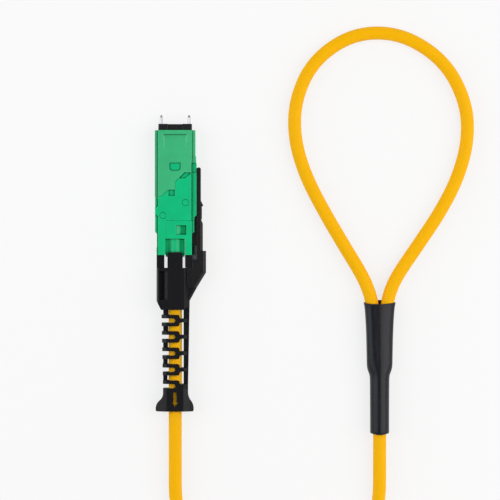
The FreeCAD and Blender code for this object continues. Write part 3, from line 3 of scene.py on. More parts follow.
import bmesh
import bpy
from bpy.props import FloatProperty, FloatVectorProperty, IntProperty, PointerProperty
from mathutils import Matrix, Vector


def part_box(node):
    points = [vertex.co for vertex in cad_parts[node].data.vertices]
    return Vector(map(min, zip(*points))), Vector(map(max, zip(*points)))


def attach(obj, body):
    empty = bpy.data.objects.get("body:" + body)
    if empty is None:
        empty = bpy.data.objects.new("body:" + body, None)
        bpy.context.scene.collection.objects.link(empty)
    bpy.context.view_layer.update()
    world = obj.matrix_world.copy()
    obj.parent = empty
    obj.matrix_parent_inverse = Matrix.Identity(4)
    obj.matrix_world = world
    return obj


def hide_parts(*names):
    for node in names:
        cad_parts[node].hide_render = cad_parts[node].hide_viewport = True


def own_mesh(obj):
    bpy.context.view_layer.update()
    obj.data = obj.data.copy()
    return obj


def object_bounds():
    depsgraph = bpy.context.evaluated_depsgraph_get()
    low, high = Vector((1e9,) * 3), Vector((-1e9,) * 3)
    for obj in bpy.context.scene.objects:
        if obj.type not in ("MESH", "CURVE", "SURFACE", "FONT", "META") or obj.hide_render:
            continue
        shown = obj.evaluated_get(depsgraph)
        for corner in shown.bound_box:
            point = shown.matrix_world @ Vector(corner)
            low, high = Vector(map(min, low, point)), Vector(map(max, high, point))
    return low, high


bl_info = {
    "name": "Fibre Loopback Adapter",
    "version": (1, 0, 0),
    "blender": (4, 5, 0),
    "location": "3D View > Sidebar > Loopback",
    "description": "Finishes a small multi-fibre loopback plug, its cable, loop and shrunk sleeve",
    "category": "Object",
}

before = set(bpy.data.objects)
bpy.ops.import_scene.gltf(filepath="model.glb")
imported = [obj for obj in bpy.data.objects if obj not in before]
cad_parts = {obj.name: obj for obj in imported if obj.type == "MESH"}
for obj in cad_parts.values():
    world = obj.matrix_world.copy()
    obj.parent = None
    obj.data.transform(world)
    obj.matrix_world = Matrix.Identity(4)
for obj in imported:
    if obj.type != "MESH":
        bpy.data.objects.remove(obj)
CAD_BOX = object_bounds()
MM = 0.001

# route points of the cable from the boot to the sleeve, in metres
TRUNK_ROUTE = [
    (0.0, -0.051, 0.0),
    (0.0, -0.062, 0.0),
    (0.0, -0.073, -0.0005),
    (0.0046, -0.0855, -0.0006),
    (0.0195, -0.091, -0.0006),
    (0.0344, -0.0855, -0.0006),
    (0.039, -0.073, -0.0005),
    (0.039, -0.061, 0.0),
    (0.039, -0.0488, 0.0),
]
# route points of the loop, in metres from the middle of the sleeve's mouth
LOOP_ROUTE = [
    (-0.00126, -0.004, 0.0),
    (-0.00126, -0.0012, 0.0),
    (-0.00181, 0.00175, -0.00002),
    (-0.00319, 0.00518, -0.00008),
    (-0.007, 0.0114, -0.00022),
    (-0.0108, 0.0179, -0.0004),
    (-0.0142, 0.0245, -0.0006),
    (-0.0163, 0.0316, -0.0006),
    (-0.0161, 0.0388, -0.0006),
    (-0.013, 0.0458, -0.0006),
    (-0.0069, 0.0506, -0.0006),
    (-0.0004, 0.052, -0.0006),
    (0.0062, 0.0506, -0.0006),
    (0.0128, 0.0458, -0.0006),
    (0.0165, 0.0385, -0.0006),
    (0.017, 0.0316, -0.0006),
    (0.0152, 0.0245, -0.0006),
    (0.0119, 0.0179, -0.0004),
    (0.0074, 0.0112, -0.00022),
    (0.00323, 0.00517, -0.00008),
    (0.00181, 0.00175, -0.00002),
    (0.00126, -0.0012, 0.0),
    (0.00126, -0.004, 0.0),
]
SLEEVE_MOUTH = Vector((0.039, -0.033, 0.0))

# fineness of a cable's mesh along its route and round its section
ROUTE_STEPS = 12
SECTION_STEPS = 8

WHITE = (1.0, 1.0, 1.0, 1.0)
# sockets of a Mix node that mixes colours
MIX_AMOUNT, MIX_FIRST, MIX_SECOND, MIX_RESULT = 0, 6, 7, 2
# most of a noise lies between these two values
NOISE_LOW = 0.3
NOISE_HIGH = 0.7
# scale of a drawn pattern along its run, as a share of its scale across the run
LINE_SQUEEZE = 0.15
STREAK_SQUEEZE = 0.10
STRAND_SQUEEZE = 0.02
# moulded edges: turn of the rounded normal, as a cosine, where the painted highlight starts and is
# full
EDGE_START = 0.985
EDGE_FULL = 0.80
# grey that each unit of an edge's highlight gain adds to its colour, as painted highlight
EDGE_LIFT = 0.012
# sunk places: how near a wall counts, the open share where painted shade starts and where it is full,
# its tone
SUNK_REACH = 0.36 * MM
SUNK_START = 0.90
SUNK_FULL = 0.50
PAINTED_SHADE_TONE = 0.15
# how far the roughness of moulded plastic strays either way, and that of metal down and up
GRAIN_STRAY = 0.06
LINE_DOWN, LINE_UP = 0.05, 0.07


def linear(code):
    """Linear colour of an sRGB hex value."""
    steps = [int(code[i:i + 2], 16) / 255 for i in (1, 3, 5)]
    return tuple(c / 12.92 if c <= 0.04045 else ((c + 0.055) / 1.055) ** 2.4 for c in steps)


def colour_setting(title, text, code):
    """A colour that the panel shows, with its sRGB hex value as the default."""
    return FloatVectorProperty(
        name=title, description=text, subtype="COLOR", size=3, min=0.0, max=1.0,
        default=linear(code),
    )


def length_setting(title, text, size):
    """A length that the panel shows, with its size in metres as the default."""
    return FloatProperty(
        name=title, description=text, subtype="DISTANCE", unit="LENGTH", min=0.0, precision=5,
        default=size,
    )


class LoopbackPlugSettings(bpy.types.PropertyGroup):
    front_colour: colour_setting("Front", "Green of the front housing", "#38BA7C")
    rear_colour: colour_setting("Rear", "Green of the rear housing and cover plate", "#00C17D")
    boot_colour: colour_setting("Boot", "Black of the soft boot", "#0A0A0F")
    arm_colour: colour_setting("Arm", "Black of the latch arm", "#09090D")
    ferrule_colour: colour_setting("Ferrule", "Blue-black of the ferrule", "#13161A")
    edge: length_setting("Edge", "Radius that the light rounds off moulded edges with", 0.11 * MM)


class LoopbackFibreSettings(bpy.types.PropertyGroup):
    count: IntProperty(name="Count", description="Fibre ends in the row", min=1, default=16)
    pitch: length_setting("Pitch", "Distance between neighbouring fibres", 0.25 * MM)
    radius: length_setting("Radius", "Radius of one glass fibre", 0.0625 * MM)
    proud: length_setting("Proud", "How far a fibre stands out of the face", 0.02 * MM)


class LoopbackSpringSettings(bpy.types.PropertyGroup):
    wire: length_setting("Wire", "Diameter of the drawn wire", 0.24 * MM)
    pitch: length_setting("Pitch", "Distance between neighbouring turns", 1.0 * MM)


class LoopbackCableSettings(bpy.types.PropertyGroup):
    diameter: length_setting("Diameter", "Outer diameter of the jacket", 2.5 * MM)
    colour: colour_setting("Jacket", "Yellow of the jacket", "#FDBB00")
    trunk_length: length_setting("Trunk", "Length from the boot to the sleeve", 99.7 * MM)
    loop_length: length_setting("Loop", "Length of the loop", 136.7 * MM)


class LoopbackSleeveSettings(bpy.types.PropertyGroup):
    colour: colour_setting("Sleeve", "Black of the shrunk sleeve", "#17181F")
    wall: length_setting("Wall", "Thickness of the shrunk wall", 0.22 * MM)
    dimple: FloatProperty(
        name="Dimple", description="How far the wall sinks between the two legs", min=0.0, max=0.5,
        subtype="FACTOR", default=0.03,
    )
    near_dip: length_setting("Near dip", "How far the upper rim dips between the legs", 0.26 * MM)
    far_rise: length_setting("Far rise", "How far the lower rim stands out past the upper",
                             0.38 * MM)
    lean: length_setting("Lean", "How far the crest lies to the left over the legs", 0.6 * MM)
    end_dip: length_setting("End dip", "How far the lower end bulges over the cable", 0.24 * MM)


class LoopbackStageSettings(bpy.types.PropertyGroup):
    floor_colour: colour_setting("Floor", "Pale floor", "#F1F1F1")
    field: length_setting("Field", "Width of the camera's view at the object", 95.4 * MM)
    centre: FloatVectorProperty(
        name="Centre", description="Point that the camera looks straight down on", subtype="XYZ",
        unit="LENGTH", size=2, default=(14.27 * MM, -22.8 * MM),
    )
    lens: FloatProperty(
        name="Lens", description="Focal length in millimetres", min=1.0, default=200.0
    )
    side_light: FloatProperty(
        name="Side light", description="Power of the soft boxes for each square metre of cloth",
        unit="POWER", min=0.0, default=8.0,
    )


class LoopbackSettings(bpy.types.PropertyGroup):
    plug: PointerProperty(type=LoopbackPlugSettings, name="Plug", description="Plug finishes")
    fibre: PointerProperty(type=LoopbackFibreSettings, name="Fibre", description="Fibre ends")
    spring: PointerProperty(
        type=LoopbackSpringSettings, name="Spring", description="Ferrule spring"
    )
    cable: PointerProperty(type=LoopbackCableSettings, name="Cable", description="Cable and loop")
    sleeve: PointerProperty(
        type=LoopbackSleeveSettings, name="Sleeve", description="Shrunk sleeve"
    )
    stage: PointerProperty(
        type=LoopbackStageSettings, name="Stage", description="Camera and light"
    )


def add(tree, kind, inputs=None, **settings):
    """Adds one node, with its settings and its input values or links."""
    node = tree.nodes.new(kind)
    for name, value in settings.items():
        setattr(node, name, value)
    for key, value in (inputs or {}).items():
        if isinstance(value, bpy.types.NodeSocket):
            tree.links.new(value, node.inputs[key])
        else:
            node.inputs[key].default_value = value
    return node


def fresh_material(name):
    """An empty material and its node tree."""
    material = bpy.data.materials.new(name)
    material.use_nodes = True
    tree = material.node_tree
    tree.nodes.clear()
    return material, tree


def shade(tree, colour, roughness, normal, **uniform):
    """Closes a material with one shader; uniform values sit on its own sockets."""
    inputs = {"Base Color": colour, "Roughness": roughness}
    if normal is not None:
        inputs["Normal"] = normal
    inputs.update({name.replace("_", " "): value for name, value in uniform.items()})
    shader = add(tree, "ShaderNodeBsdfPrincipled", inputs)
    add(tree, "ShaderNodeOutputMaterial", {"Surface": shader.outputs["BSDF"]})


def per_size(size_mm):
    """Scale of a noise whose blotches are about size_mm across."""
    return 1.0 / (size_mm * MM)


def stretched(pattern, low, high):
    """Inputs that take the middle of a noise to the values from low to high."""
    return {"Value": pattern, "From Min": NOISE_LOW, "From Max": NOISE_HIGH, "To Min": low,
            "To Max": high}


def scaled(colour, factor):
    """A darker or lighter tone of a colour."""
    return tuple(min(c * factor, 1.0) for c in colour)


def mottle(tree, pattern, colour, dark, light):
    """Lets a colour follow a noise from a dark to a light tone of itself."""
    amount = add(tree, "ShaderNodeMapRange", stretched(pattern, 0.0, 1.0)).outputs["Result"]
    tones = {MIX_AMOUNT: amount, MIX_FIRST: (*scaled(colour, dark), 1.0),
             MIX_SECOND: (*scaled(colour, light), 1.0)}
    return add(tree, "ShaderNodeMix", tones, data_type="RGBA").outputs[MIX_RESULT]


def moulded(name, colour, roughness, edge, highlight_gain, grain_mm=0.35, grain=0.15, **uniform):
    """Moulded plastic: an even colour with faint flow marks, a spark-eroded grain that breaks
    up the gloss, edges rounded in the shading and lightened by a painted highlight, and painted
    shade that darkens the colour where seams, marks and gaps are sunk."""
    material, tree = fresh_material(name)
    place = add(tree, "ShaderNodeTexCoord").outputs["Object"]
    flow = {"Vector": place, "Scale": per_size(3.0), "Detail": 3.0}
    flow = add(tree, "ShaderNodeTexNoise", flow).outputs["Fac"]
    body = mottle(tree, flow, colour, dark=0.93, light=1.05)
    # an edge is where the rounded normal turns away from the flat one
    softened = add(tree, "ShaderNodeBevel", {"Radius": edge}, samples=6).outputs["Normal"]
    flat = add(tree, "ShaderNodeNewGeometry").outputs["Normal"]
    along = add(tree, "ShaderNodeVectorMath", {0: softened, 1: flat}, operation="DOT_PRODUCT")
    edge_highlight = {"Value": along.outputs["Value"], "From Min": EDGE_START, "From Max": EDGE_FULL}
    edge_highlight = add(tree, "ShaderNodeMapRange", edge_highlight).outputs["Result"]
    # along the edges the colour is lifted towards a paler tone of itself: a painted highlight
    highlight_tone = tuple(min(c * (1.0 + highlight_gain) + EDGE_LIFT * highlight_gain, 1.0) for c in colour)
    edge_highlight = {MIX_AMOUNT: edge_highlight, MIX_FIRST: body, MIX_SECOND: (*highlight_tone, 1.0)}
    body = add(tree, "ShaderNodeMix", edge_highlight, data_type="RGBA").outputs[MIX_RESULT]
    # a seam or a mark is where walls close by hide the open sky
    sky = add(tree, "ShaderNodeAmbientOcclusion", {"Distance": SUNK_REACH}, samples=8)
    sunk = {"Value": sky.outputs["AO"], "From Min": SUNK_START, "From Max": SUNK_FULL}
    sunk = add(tree, "ShaderNodeMapRange", sunk).outputs["Result"]
    # there the colour is darkened towards a deep tone of itself: painted shade, also in gaps to
    # neighbouring parts
    painted_shade = {MIX_AMOUNT: sunk, MIX_FIRST: body, MIX_SECOND: (*scaled(colour, PAINTED_SHADE_TONE), 1.0)}
    body = add(tree, "ShaderNodeMix", painted_shade, data_type="RGBA").outputs[MIX_RESULT]
    # real grain is too fine for the picture to show, so it is drawn coarser
    pits = {"Vector": place, "Scale": per_size(grain_mm), "Detail": 4.0}
    pits = add(tree, "ShaderNodeTexNoise", pits).outputs["Fac"]
    rough = stretched(pits, roughness - GRAIN_STRAY, roughness + GRAIN_STRAY)
    rough = add(tree, "ShaderNodeMapRange", rough).outputs["Result"]
    bump = {"Height": pits, "Strength": grain, "Distance": 0.02 * MM, "Normal": softened}
    bump = add(tree, "ShaderNodeBump", bump).outputs["Normal"]
    shade(tree, body, rough, bump, **uniform)
    return material


def metal(name, colour, roughness, line_mm, across, edge):
    """Bare metal: bright, with fine lines left by grinding or drawing, which stretch its gloss.
    The lines lie across the axis that is named."""
    material, tree = fresh_material(name)
    place = add(tree, "ShaderNodeTexCoord").outputs["Object"]
    # real lines are too fine for the picture to show, so they are drawn coarser
    scale = [LINE_SQUEEZE * per_size(line_mm)] * 3
    scale["XYZ".index(across)] = per_size(line_mm)
    lines = add(tree, "ShaderNodeMapping", {"Vector": place, "Scale": scale}).outputs["Vector"]
    lines = {"Vector": lines, "Scale": 1.0, "Detail": 2.0}
    lines = add(tree, "ShaderNodeTexNoise", lines).outputs["Fac"]
    body = mottle(tree, lines, colour, dark=0.86, light=1.06)
    rough = stretched(lines, roughness - LINE_DOWN, roughness + LINE_UP)
    rough = add(tree, "ShaderNodeMapRange", rough).outputs["Result"]
    softened = add(tree, "ShaderNodeBevel", {"Radius": edge}, samples=4).outputs["Normal"]
    bump = {"Height": lines, "Strength": 0.1, "Distance": 0.005 * MM, "Normal": softened}
    bump = add(tree, "ShaderNodeBump", bump).outputs["Normal"]
    shade(tree, body, rough, bump, Metallic=1.0)
    return material


def extruded_jacket(name, colour):
    """Extruded PVC: an even, slightly waxy yellow with a soft gloss and a fine skin."""
    material, tree = fresh_material(name)
    place = add(tree, "ShaderNodeTexCoord").outputs["Object"]
    cloud = {"Vector": place, "Scale": per_size(2.5), "Detail": 3.0}
    cloud = add(tree, "ShaderNodeTexNoise", cloud).outputs["Fac"]
    body = mottle(tree, cloud, colour, dark=0.985, light=1.01)
    # a real jacket's skin is too fine for the picture to show, so it is drawn coarser
    skin = {"Vector": place, "Scale": per_size(0.3), "Detail": 3.0}
    skin = add(tree, "ShaderNodeTexNoise", skin).outputs["Fac"]
    rough = add(tree, "ShaderNodeMapRange", stretched(skin, 0.40, 0.50)).outputs["Result"]
    bump = {"Height": skin, "Strength": 0.03, "Distance": 0.02 * MM}
    bump = add(tree, "ShaderNodeBump", bump).outputs["Normal"]
    shade(tree, body, rough, bump, Specular_IOR_Level=0.09)
    return material


def shrunk_tube(name, colour):
    """Heat-shrunk polyolefin: satin black with a soft sheen and the fine streaks along the tube
    that drawing and shrinking leave."""
    material, tree = fresh_material(name)
    place = add(tree, "ShaderNodeTexCoord").outputs["Object"]
    along = {"Vector": place, "Scale": (1.0, STREAK_SQUEEZE, 1.0)}
    along = add(tree, "ShaderNodeMapping", along).outputs["Vector"]
    streaks = {"Vector": along, "Scale": per_size(0.55), "Detail": 2.0}
    streaks = add(tree, "ShaderNodeTexNoise", streaks).outputs["Fac"]
    # a real tube's skin is too fine for the picture to show, so it is drawn coarser
    skin = {"Vector": place, "Scale": per_size(0.25), "Detail": 3.0}
    skin = add(tree, "ShaderNodeTexNoise", skin).outputs["Fac"]
    body = mottle(tree, streaks, colour, dark=0.85, light=1.15)
    rough = add(tree, "ShaderNodeMapRange", stretched(skin, 0.27, 0.36)).outputs["Result"]
    bump = {"Height": streaks, "Strength": 0.45, "Distance": 0.08 * MM}
    bump = add(tree, "ShaderNodeBump", bump).outputs["Normal"]
    bump = {"Height": skin, "Strength": 0.1, "Distance": 0.01 * MM, "Normal": bump}
    bump = add(tree, "ShaderNodeBump", bump).outputs["Normal"]
    shade(tree, body, rough, bump, Specular_IOR_Level=0.25)
    return material


def fibrous(name, colour, strand_mm):
    """Bundled strands along the plug: fine light and dark lines with a dull sheen. A yarn's are
    drawn coarser than real ones, which are too fine for the picture to show."""
    material, tree = fresh_material(name)
    place = add(tree, "ShaderNodeTexCoord").outputs["Object"]
    across = per_size(strand_mm)
    scale = (across, STRAND_SQUEEZE * across, across)
    strands = add(tree, "ShaderNodeMapping", {"Vector": place, "Scale": scale}).outputs["Vector"]
    strands = {"Vector": strands, "Scale": 1.0, "Detail": 2.0}
    strands = add(tree, "ShaderNodeTexNoise", strands).outputs["Fac"]
    body = mottle(tree, strands, colour, dark=0.7, light=1.1)
    bump = {"Height": strands, "Strength": 0.4, "Distance": 0.03 * MM}
    bump = add(tree, "ShaderNodeBump", bump).outputs["Normal"]
    shade(tree, body, 0.5, bump)
    return material


def polished_glass(name, colour):
    """Polished glass fibre end: a pale, faintly clouded disc with a hard gloss."""
    material, tree = fresh_material(name)
    place = add(tree, "ShaderNodeTexCoord").outputs["Object"]
    cloud = {"Vector": place, "Scale": per_size(0.1), "Detail": 1.0}
    cloud = add(tree, "ShaderNodeTexNoise", cloud).outputs["Fac"]
    body = mottle(tree, cloud, colour, dark=0.85, light=1.0)
    shade(tree, body, 0.08, None, IOR=1.46)
    return material


def dress(material, *names):
    """Gives CAD nodes their finish."""
    for name in names:
        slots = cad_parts[name].data.materials
        slots.clear()
        slots.append(material)


def new_piece(name, mesh, material, body):
    """A finished mesh piece that rides on a body."""
    piece = bpy.data.objects.new(name, mesh)
    bpy.context.scene.collection.objects.link(piece)
    mesh.materials.clear()
    mesh.materials.append(material)
    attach(piece, body)
    return piece


def open_tree(name, sizes):
    """A node tree with one named input for each size, its inputs and the values to set on them."""
    tree = bpy.data.node_groups.new(name, "GeometryNodeTree")
    tree.interface.new_socket("Geometry", in_out="OUTPUT", socket_type="NodeSocketGeometry")
    values = {}
    for title, value in sizes.items():
        kind = "NodeSocketInt" if isinstance(value, int) else "NodeSocketFloat"
        socket = tree.interface.new_socket(title, in_out="INPUT", socket_type=kind)
        values[socket.identifier] = value
    return tree, add(tree, "NodeGroupInput").outputs, values


def grow(name, tree, geometry, material, values):
    """Closes a node tree, runs it once and keeps what it makes as a plain mesh."""
    real = add(tree, "GeometryNodeRealizeInstances", {"Geometry": geometry}).outputs["Geometry"]
    made = add(tree, "GeometryNodeSetMaterial", {"Geometry": real, "Material": material})
    add(tree, "NodeGroupOutput", {"Geometry": made.outputs["Geometry"]})
    seed = bpy.data.objects.new(name, bpy.data.meshes.new(name))
    bpy.context.scene.collection.objects.link(seed)
    rule = seed.modifiers.new(name, "NODES")
    rule.node_group = tree
    for identifier, value in values.items():
        rule[identifier] = value
    bpy.context.view_layer.update()
    evaluated = seed.evaluated_get(bpy.context.evaluated_depsgraph_get())
    mesh = bpy.data.meshes.new_from_object(evaluated)
    seed.modifiers.remove(rule)
    bpy.data.objects.remove(seed)
    return mesh


def cable_curve(name, points, diameter, material):
    """A round cable on one smooth spline along its route."""
    curve = bpy.data.curves.new(name, "CURVE")
    curve.dimensions = "3D"
    spline = curve.splines.new("NURBS")
    spline.points.add(len(points) - 1)
    for spot, point in zip(spline.points, points):
        spot.co = (*point, 1.0)
    spline.order_u = 3
    spline.use_endpoint_u = True
    spline.resolution_u = ROUTE_STEPS
    curve.bevel_depth = diameter / 2
    curve.bevel_resolution = SECTION_STEPS
    curve.use_fill_caps = True
    curve.materials.append(material)
    cable = bpy.data.objects.new(name, curve)
    bpy.context.scene.collection.objects.link(cable)
    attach(cable, "plug_body")
    return cable


class LOOPBACK_OT_stage(bpy.types.Operator):
    """Sets up the camera, the soft boxes, the pale floor and the studio round them"""

    bl_idname = "loopback.stage"
    bl_label = "Stage"

    # name, place from the middle of the view and width in metres, and colour of each soft box
    SOFT_BOXES = (
        ("SoftBoxLeft", (-0.36, 0.05, 0.30), 0.24, "#F2F7FF"),
        ("SoftBoxRight", (0.31, 0.02, 0.355), 0.34, "#FFFBF8"),
    )
    BOX_HEIGHT = 0.50
    CLIP_START = 0.01
    FLOOR_HALF = 1.5
    # how far the board is lifted towards white where it is seen
    WHITE_SHARE = 0.75
    # strength of the studio's light at the horizon and straight above
    HORIZON = 1.0
    ZENITH = 0.06

    def execute(self, context):
        settings = context.scene.loopback.stage
        self.camera(context, settings)
        self.lights(context, settings)
        self.floor(context, settings)
        self.world(context)
        context.scene.view_settings.view_transform = "Standard"
        return {"FINISHED"}

    def camera(self, context, settings):
        data = bpy.data.cameras.new("Camera")
        data.lens = settings.lens
        camera = bpy.data.objects.new("Camera", data)
        distance = settings.field * data.lens / data.sensor_width
        camera.location = (*settings.centre, distance)
        data.clip_start = self.CLIP_START
        context.scene.collection.objects.link(camera)
        context.scene.camera = camera

    def lights(self, context, settings):
        middle = Vector((*settings.centre, 0.0))
        for name, place, width, colour in self.SOFT_BOXES:
            data = bpy.data.lights.new(name, "AREA")
            data.shape = "RECTANGLE"
            data.size = width
            data.size_y = self.BOX_HEIGHT
            data.energy = settings.side_light * data.size * data.size_y
            data.color = linear(colour)
            lamp = bpy.data.objects.new(name, data)
            lamp.location = middle + Vector(place)
            lamp.rotation_euler = (middle - lamp.location).to_track_quat("-Z", "Y").to_euler()
            context.scene.collection.objects.link(lamp)

    def floor(self, context, settings):
        mesh = bpy.data.meshes.new("Floor")
        build = bmesh.new()
        bmesh.ops.create_grid(build, x_segments=1, y_segments=1, size=self.FLOOR_HALF)
        bmesh.ops.translate(build, verts=build.verts, vec=(0.0, 0.0, CAD_BOX[0].z))
        build.to_mesh(mesh)
        build.free()
        material, tree = fresh_material("Pale painted board")
        # seen directly, in a gloss or through glass, the board is lifted towards white but keeps
        # its shadow
        matt = add(tree, "ShaderNodeBsdfDiffuse", {"Color": (*settings.floor_colour, 1.0)})
        white = add(tree, "ShaderNodeEmission", {"Color": WHITE, "Strength": 1.0})
        ray = add(tree, "ShaderNodeLightPath").outputs
        seen = add(tree, "ShaderNodeMath", {0: ray["Is Camera Ray"], 1: ray["Is Glossy Ray"]},
                   operation="MAXIMUM")
        seen = add(tree, "ShaderNodeMath", {0: seen.outputs[0], 1: ray["Is Transmission Ray"]},
                   operation="MAXIMUM")
        share = add(tree, "ShaderNodeMath", {0: seen.outputs[0], 1: self.WHITE_SHARE},
                    operation="MULTIPLY")
        mixed = {0: share.outputs[0], 1: matt.outputs["BSDF"], 2: white.outputs["Emission"]}
        mixed = add(tree, "ShaderNodeMixShader", mixed)
        add(tree, "ShaderNodeOutputMaterial", {"Surface": mixed.outputs["Shader"]})
        mesh.materials.append(material)
        floor = bpy.data.objects.new("Floor", mesh)
        context.scene.collection.objects.link(floor)

    def world(self, context):
        # a studio: bright round the horizon, dim straight above where the camera hangs
        world = bpy.data.worlds.new("Studio")
        context.scene.world = world
        world.use_nodes = True
        tree = world.node_tree
        tree.nodes.clear()
        way = add(tree, "ShaderNodeTexCoord").outputs["Generated"]
        height = add(tree, "ShaderNodeSeparateXYZ", {0: way}).outputs["Z"]
        level = {"Value": height, "From Min": 0.0, "From Max": 1.0, "To Min": self.HORIZON,
                 "To Max": self.ZENITH}
        level = add(tree, "ShaderNodeMapRange", level).outputs["Result"]
        sky = add(tree, "ShaderNodeBackground", {"Color": WHITE, "Strength": level})
        add(tree, "ShaderNodeOutputWorld", {"Surface": sky.outputs["Background"]})


class LOOPBACK_OT_sleeve(bpy.types.Operator):
    """Makes the shrunk sleeve that holds the two legs of the loop on the cable"""

    bl_idname = "loopback.sleeve"
    bl_label = "Shrunk sleeve"

    # distance from the mouth, width and thickness in mm, and how square the section is
    SECTIONS = (
        (-0.22, 6.22, 3.50, 2.25),
        (0.1, 6.02, 3.45, 2.25),
        (0.7, 5.80, 3.42, 2.25),
        (1.6, 5.62, 3.42, 2.25),
        (3.4, 5.38, 3.42, 2.25),
        (5.6, 5.18, 3.42, 2.25),
        (8.4, 5.04, 3.42, 2.25),
        (10.8, 4.97, 3.44, 2.25),
        (11.8, 4.93, 3.46, 2.2),
        (12.5, 4.74, 3.54, 2.15),
        (13.1, 4.30, 3.62, 2.1),
        (13.6, 3.88, 3.68, 2.05),
        (14.3, 3.72, 3.70, 2.0),
        (16.5, 3.70, 3.68, 2.0),
        (20.0, 3.66, 3.66, 2.0),
        (23.6, 3.64, 3.64, 2.0),
        (24.55, 3.66, 3.66, 2.0),
        (24.8, 3.62, 3.62, 2.0),
    )
    SIDES = 48
    # lengths in mm along the sleeve: how far its rims are uneven, where the dimple and the lean
    # of the crest begin to fade and over how much they do, and where the neck begins
    RIM_REACH = 3.0
    DIMPLE_HOLD, DIMPLE_FADE = 6.0, 7.0
    LEAN_HOLD, LEAN_FADE = 8.0, 5.5
    NECK_START = 13.5
    # half width of the dimple, its share on the inner wall, and the room round the cable
    DIMPLE_WIDTH = 0.55 * MM
    INNER_DIMPLE = 0.5
    CABLE_ROOM = 0.02 * MM

    def ring(self, build, section, inset, dimple, settings):
        """Corners of the wall at one section, a distance inside its outline."""
        depth, width, thick, square = section
        mouth = max(0.0, 1.0 - depth / self.RIM_REACH) ** 2
        end = max(0.0, 1.0 - (self.SECTIONS[-1][0] - depth) / self.RIM_REACH) ** 2
        lean = settings.lean * max(0.0, 1.0 - max(depth - self.LEAN_HOLD, 0.0) / self.LEAN_FADE)
        sink = dimple * max(0.0, 1.0 - max(depth - self.DIMPLE_HOLD, 0.0) / self.DIMPLE_FADE)
        spots = []
        for step in range(self.SIDES):
            angle = 2.0 * math.pi * step / self.SIDES
            c, s = math.cos(angle), math.sin(angle)
            x = math.copysign(abs(c) ** (2.0 / square), c) * (width / 2 * MM - inset)
            z = math.copysign(abs(s) ** (2.0 / square), s) * (thick / 2 * MM - inset)
            z *= 1.0 - sink * math.exp(-((x / self.DIMPLE_WIDTH) ** 2))
            if s > 0:
                x -= lean * s * s
            slip = -settings.near_dip if s > 0 else settings.far_rise
            y = (slip * mouth - settings.end_dip * end * s) * s * s - depth * MM
            spots.append(build.verts.new(SLEEVE_MOUTH + Vector((x, y, z))))
        return spots

    def execute(self, context):
        settings = context.scene.loopback.sleeve
        bore = context.scene.loopback.cable.diameter / 2 + self.CABLE_ROOM
        build = bmesh.new()
        rings = [self.ring(build, s, 0.0, settings.dimple, settings) for s in self.SECTIONS]
        inner_dimple = settings.dimple * self.INNER_DIMPLE
        for section in reversed(self.SECTIONS):
            inset = settings.wall
            if section[0] > self.NECK_START:
                inset = section[1] / 2 * MM - bore
            rings.append(self.ring(build, section, inset, inner_dimple, settings))
        for first, second in zip(rings, rings[1:] + rings[:1]):
            for index in range(self.SIDES):
                after = (index + 1) % self.SIDES
                build.faces.new((first[index], first[after], second[after], second[index]))
        bmesh.ops.recalc_face_normals(build, faces=build.faces)
        for face in build.faces:
            face.smooth = True
        mesh = bpy.data.meshes.new("sleeve_shrunk")
        build.to_mesh(mesh)
        build.free()
        material = shrunk_tube("Shrunk polyolefin", settings.colour)
        sleeve = new_piece("sleeve_shrunk", mesh, material, "plug_body")
        soft = sleeve.modifiers.new("Smooth", "SUBSURF")
        soft.levels = soft.render_levels = 1
        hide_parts("shrink_sleeve")
        return {"FINISHED"}


class LOOPBACK_OT_cables(bpy.types.Operator):
    """Lays the cable from the boot to the sleeve and the loop"""

    bl_idname = "loopback.cables"
    bl_label = "Cable and loop"

    def execute(self, context):
        settings = context.scene.loopback.cable
        jacket = extruded_jacket("Extruded PVC jacket", settings.colour)
        thick = settings.diameter
        trunk = cable_curve("trunk_jacket", TRUNK_ROUTE, thick, jacket)
        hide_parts("trunk_cable")
        points = [SLEEVE_MOUTH + Vector(p) for p in LOOP_ROUTE]
        loop = cable_curve("loop_jacket", points, thick, jacket)
        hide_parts("loop_cable")
        dress(jacket, "cable_held")
        return {"FINISHED"}


class LOOPBACK_OT_housings(bpy.types.Operator):
    """Finishes the two housings and the cover plate"""

    bl_idname = "loopback.housings"
    bl_label = "Housings"

    def execute(self, context):
        settings = context.scene.loopback.plug
        front = moulded("Moulded PEI front", settings.front_colour, roughness=0.36,
                        edge=settings.edge, highlight_gain=0.85, Specular_IOR_Level=0.45)
        rear = moulded("Moulded PBT rear", settings.rear_colour, roughness=0.36,
                       edge=settings.edge, highlight_gain=0.75, Specular_IOR_Level=0.26)
        dress(front, "front_housing")
        dress(rear, "rear_housing", "crimp_body")
        return {"FINISHED"}


class LOOPBACK_OT_boot(bpy.types.Operator):
    """Finishes the ribbed boot and the latch arm"""

    bl_idname = "loopback.boot"
    bl_label = "Boot and arm"

    def execute(self, context):
        settings = context.scene.loopback.plug
        boot = moulded("Moulded TPE boot", settings.boot_colour, roughness=0.42,
                       edge=settings.edge, highlight_gain=1.6, grain=0.3, Specular_IOR_Level=0.23)
        arm = moulded("Moulded PBT arm", settings.arm_colour, roughness=0.36,
                      edge=settings.edge, highlight_gain=1.6, Specular_IOR_Level=0.42)
        dress(boot, "push_pull_boot")
        dress(arm, "latch_arm")
        return {"FINISHED"}


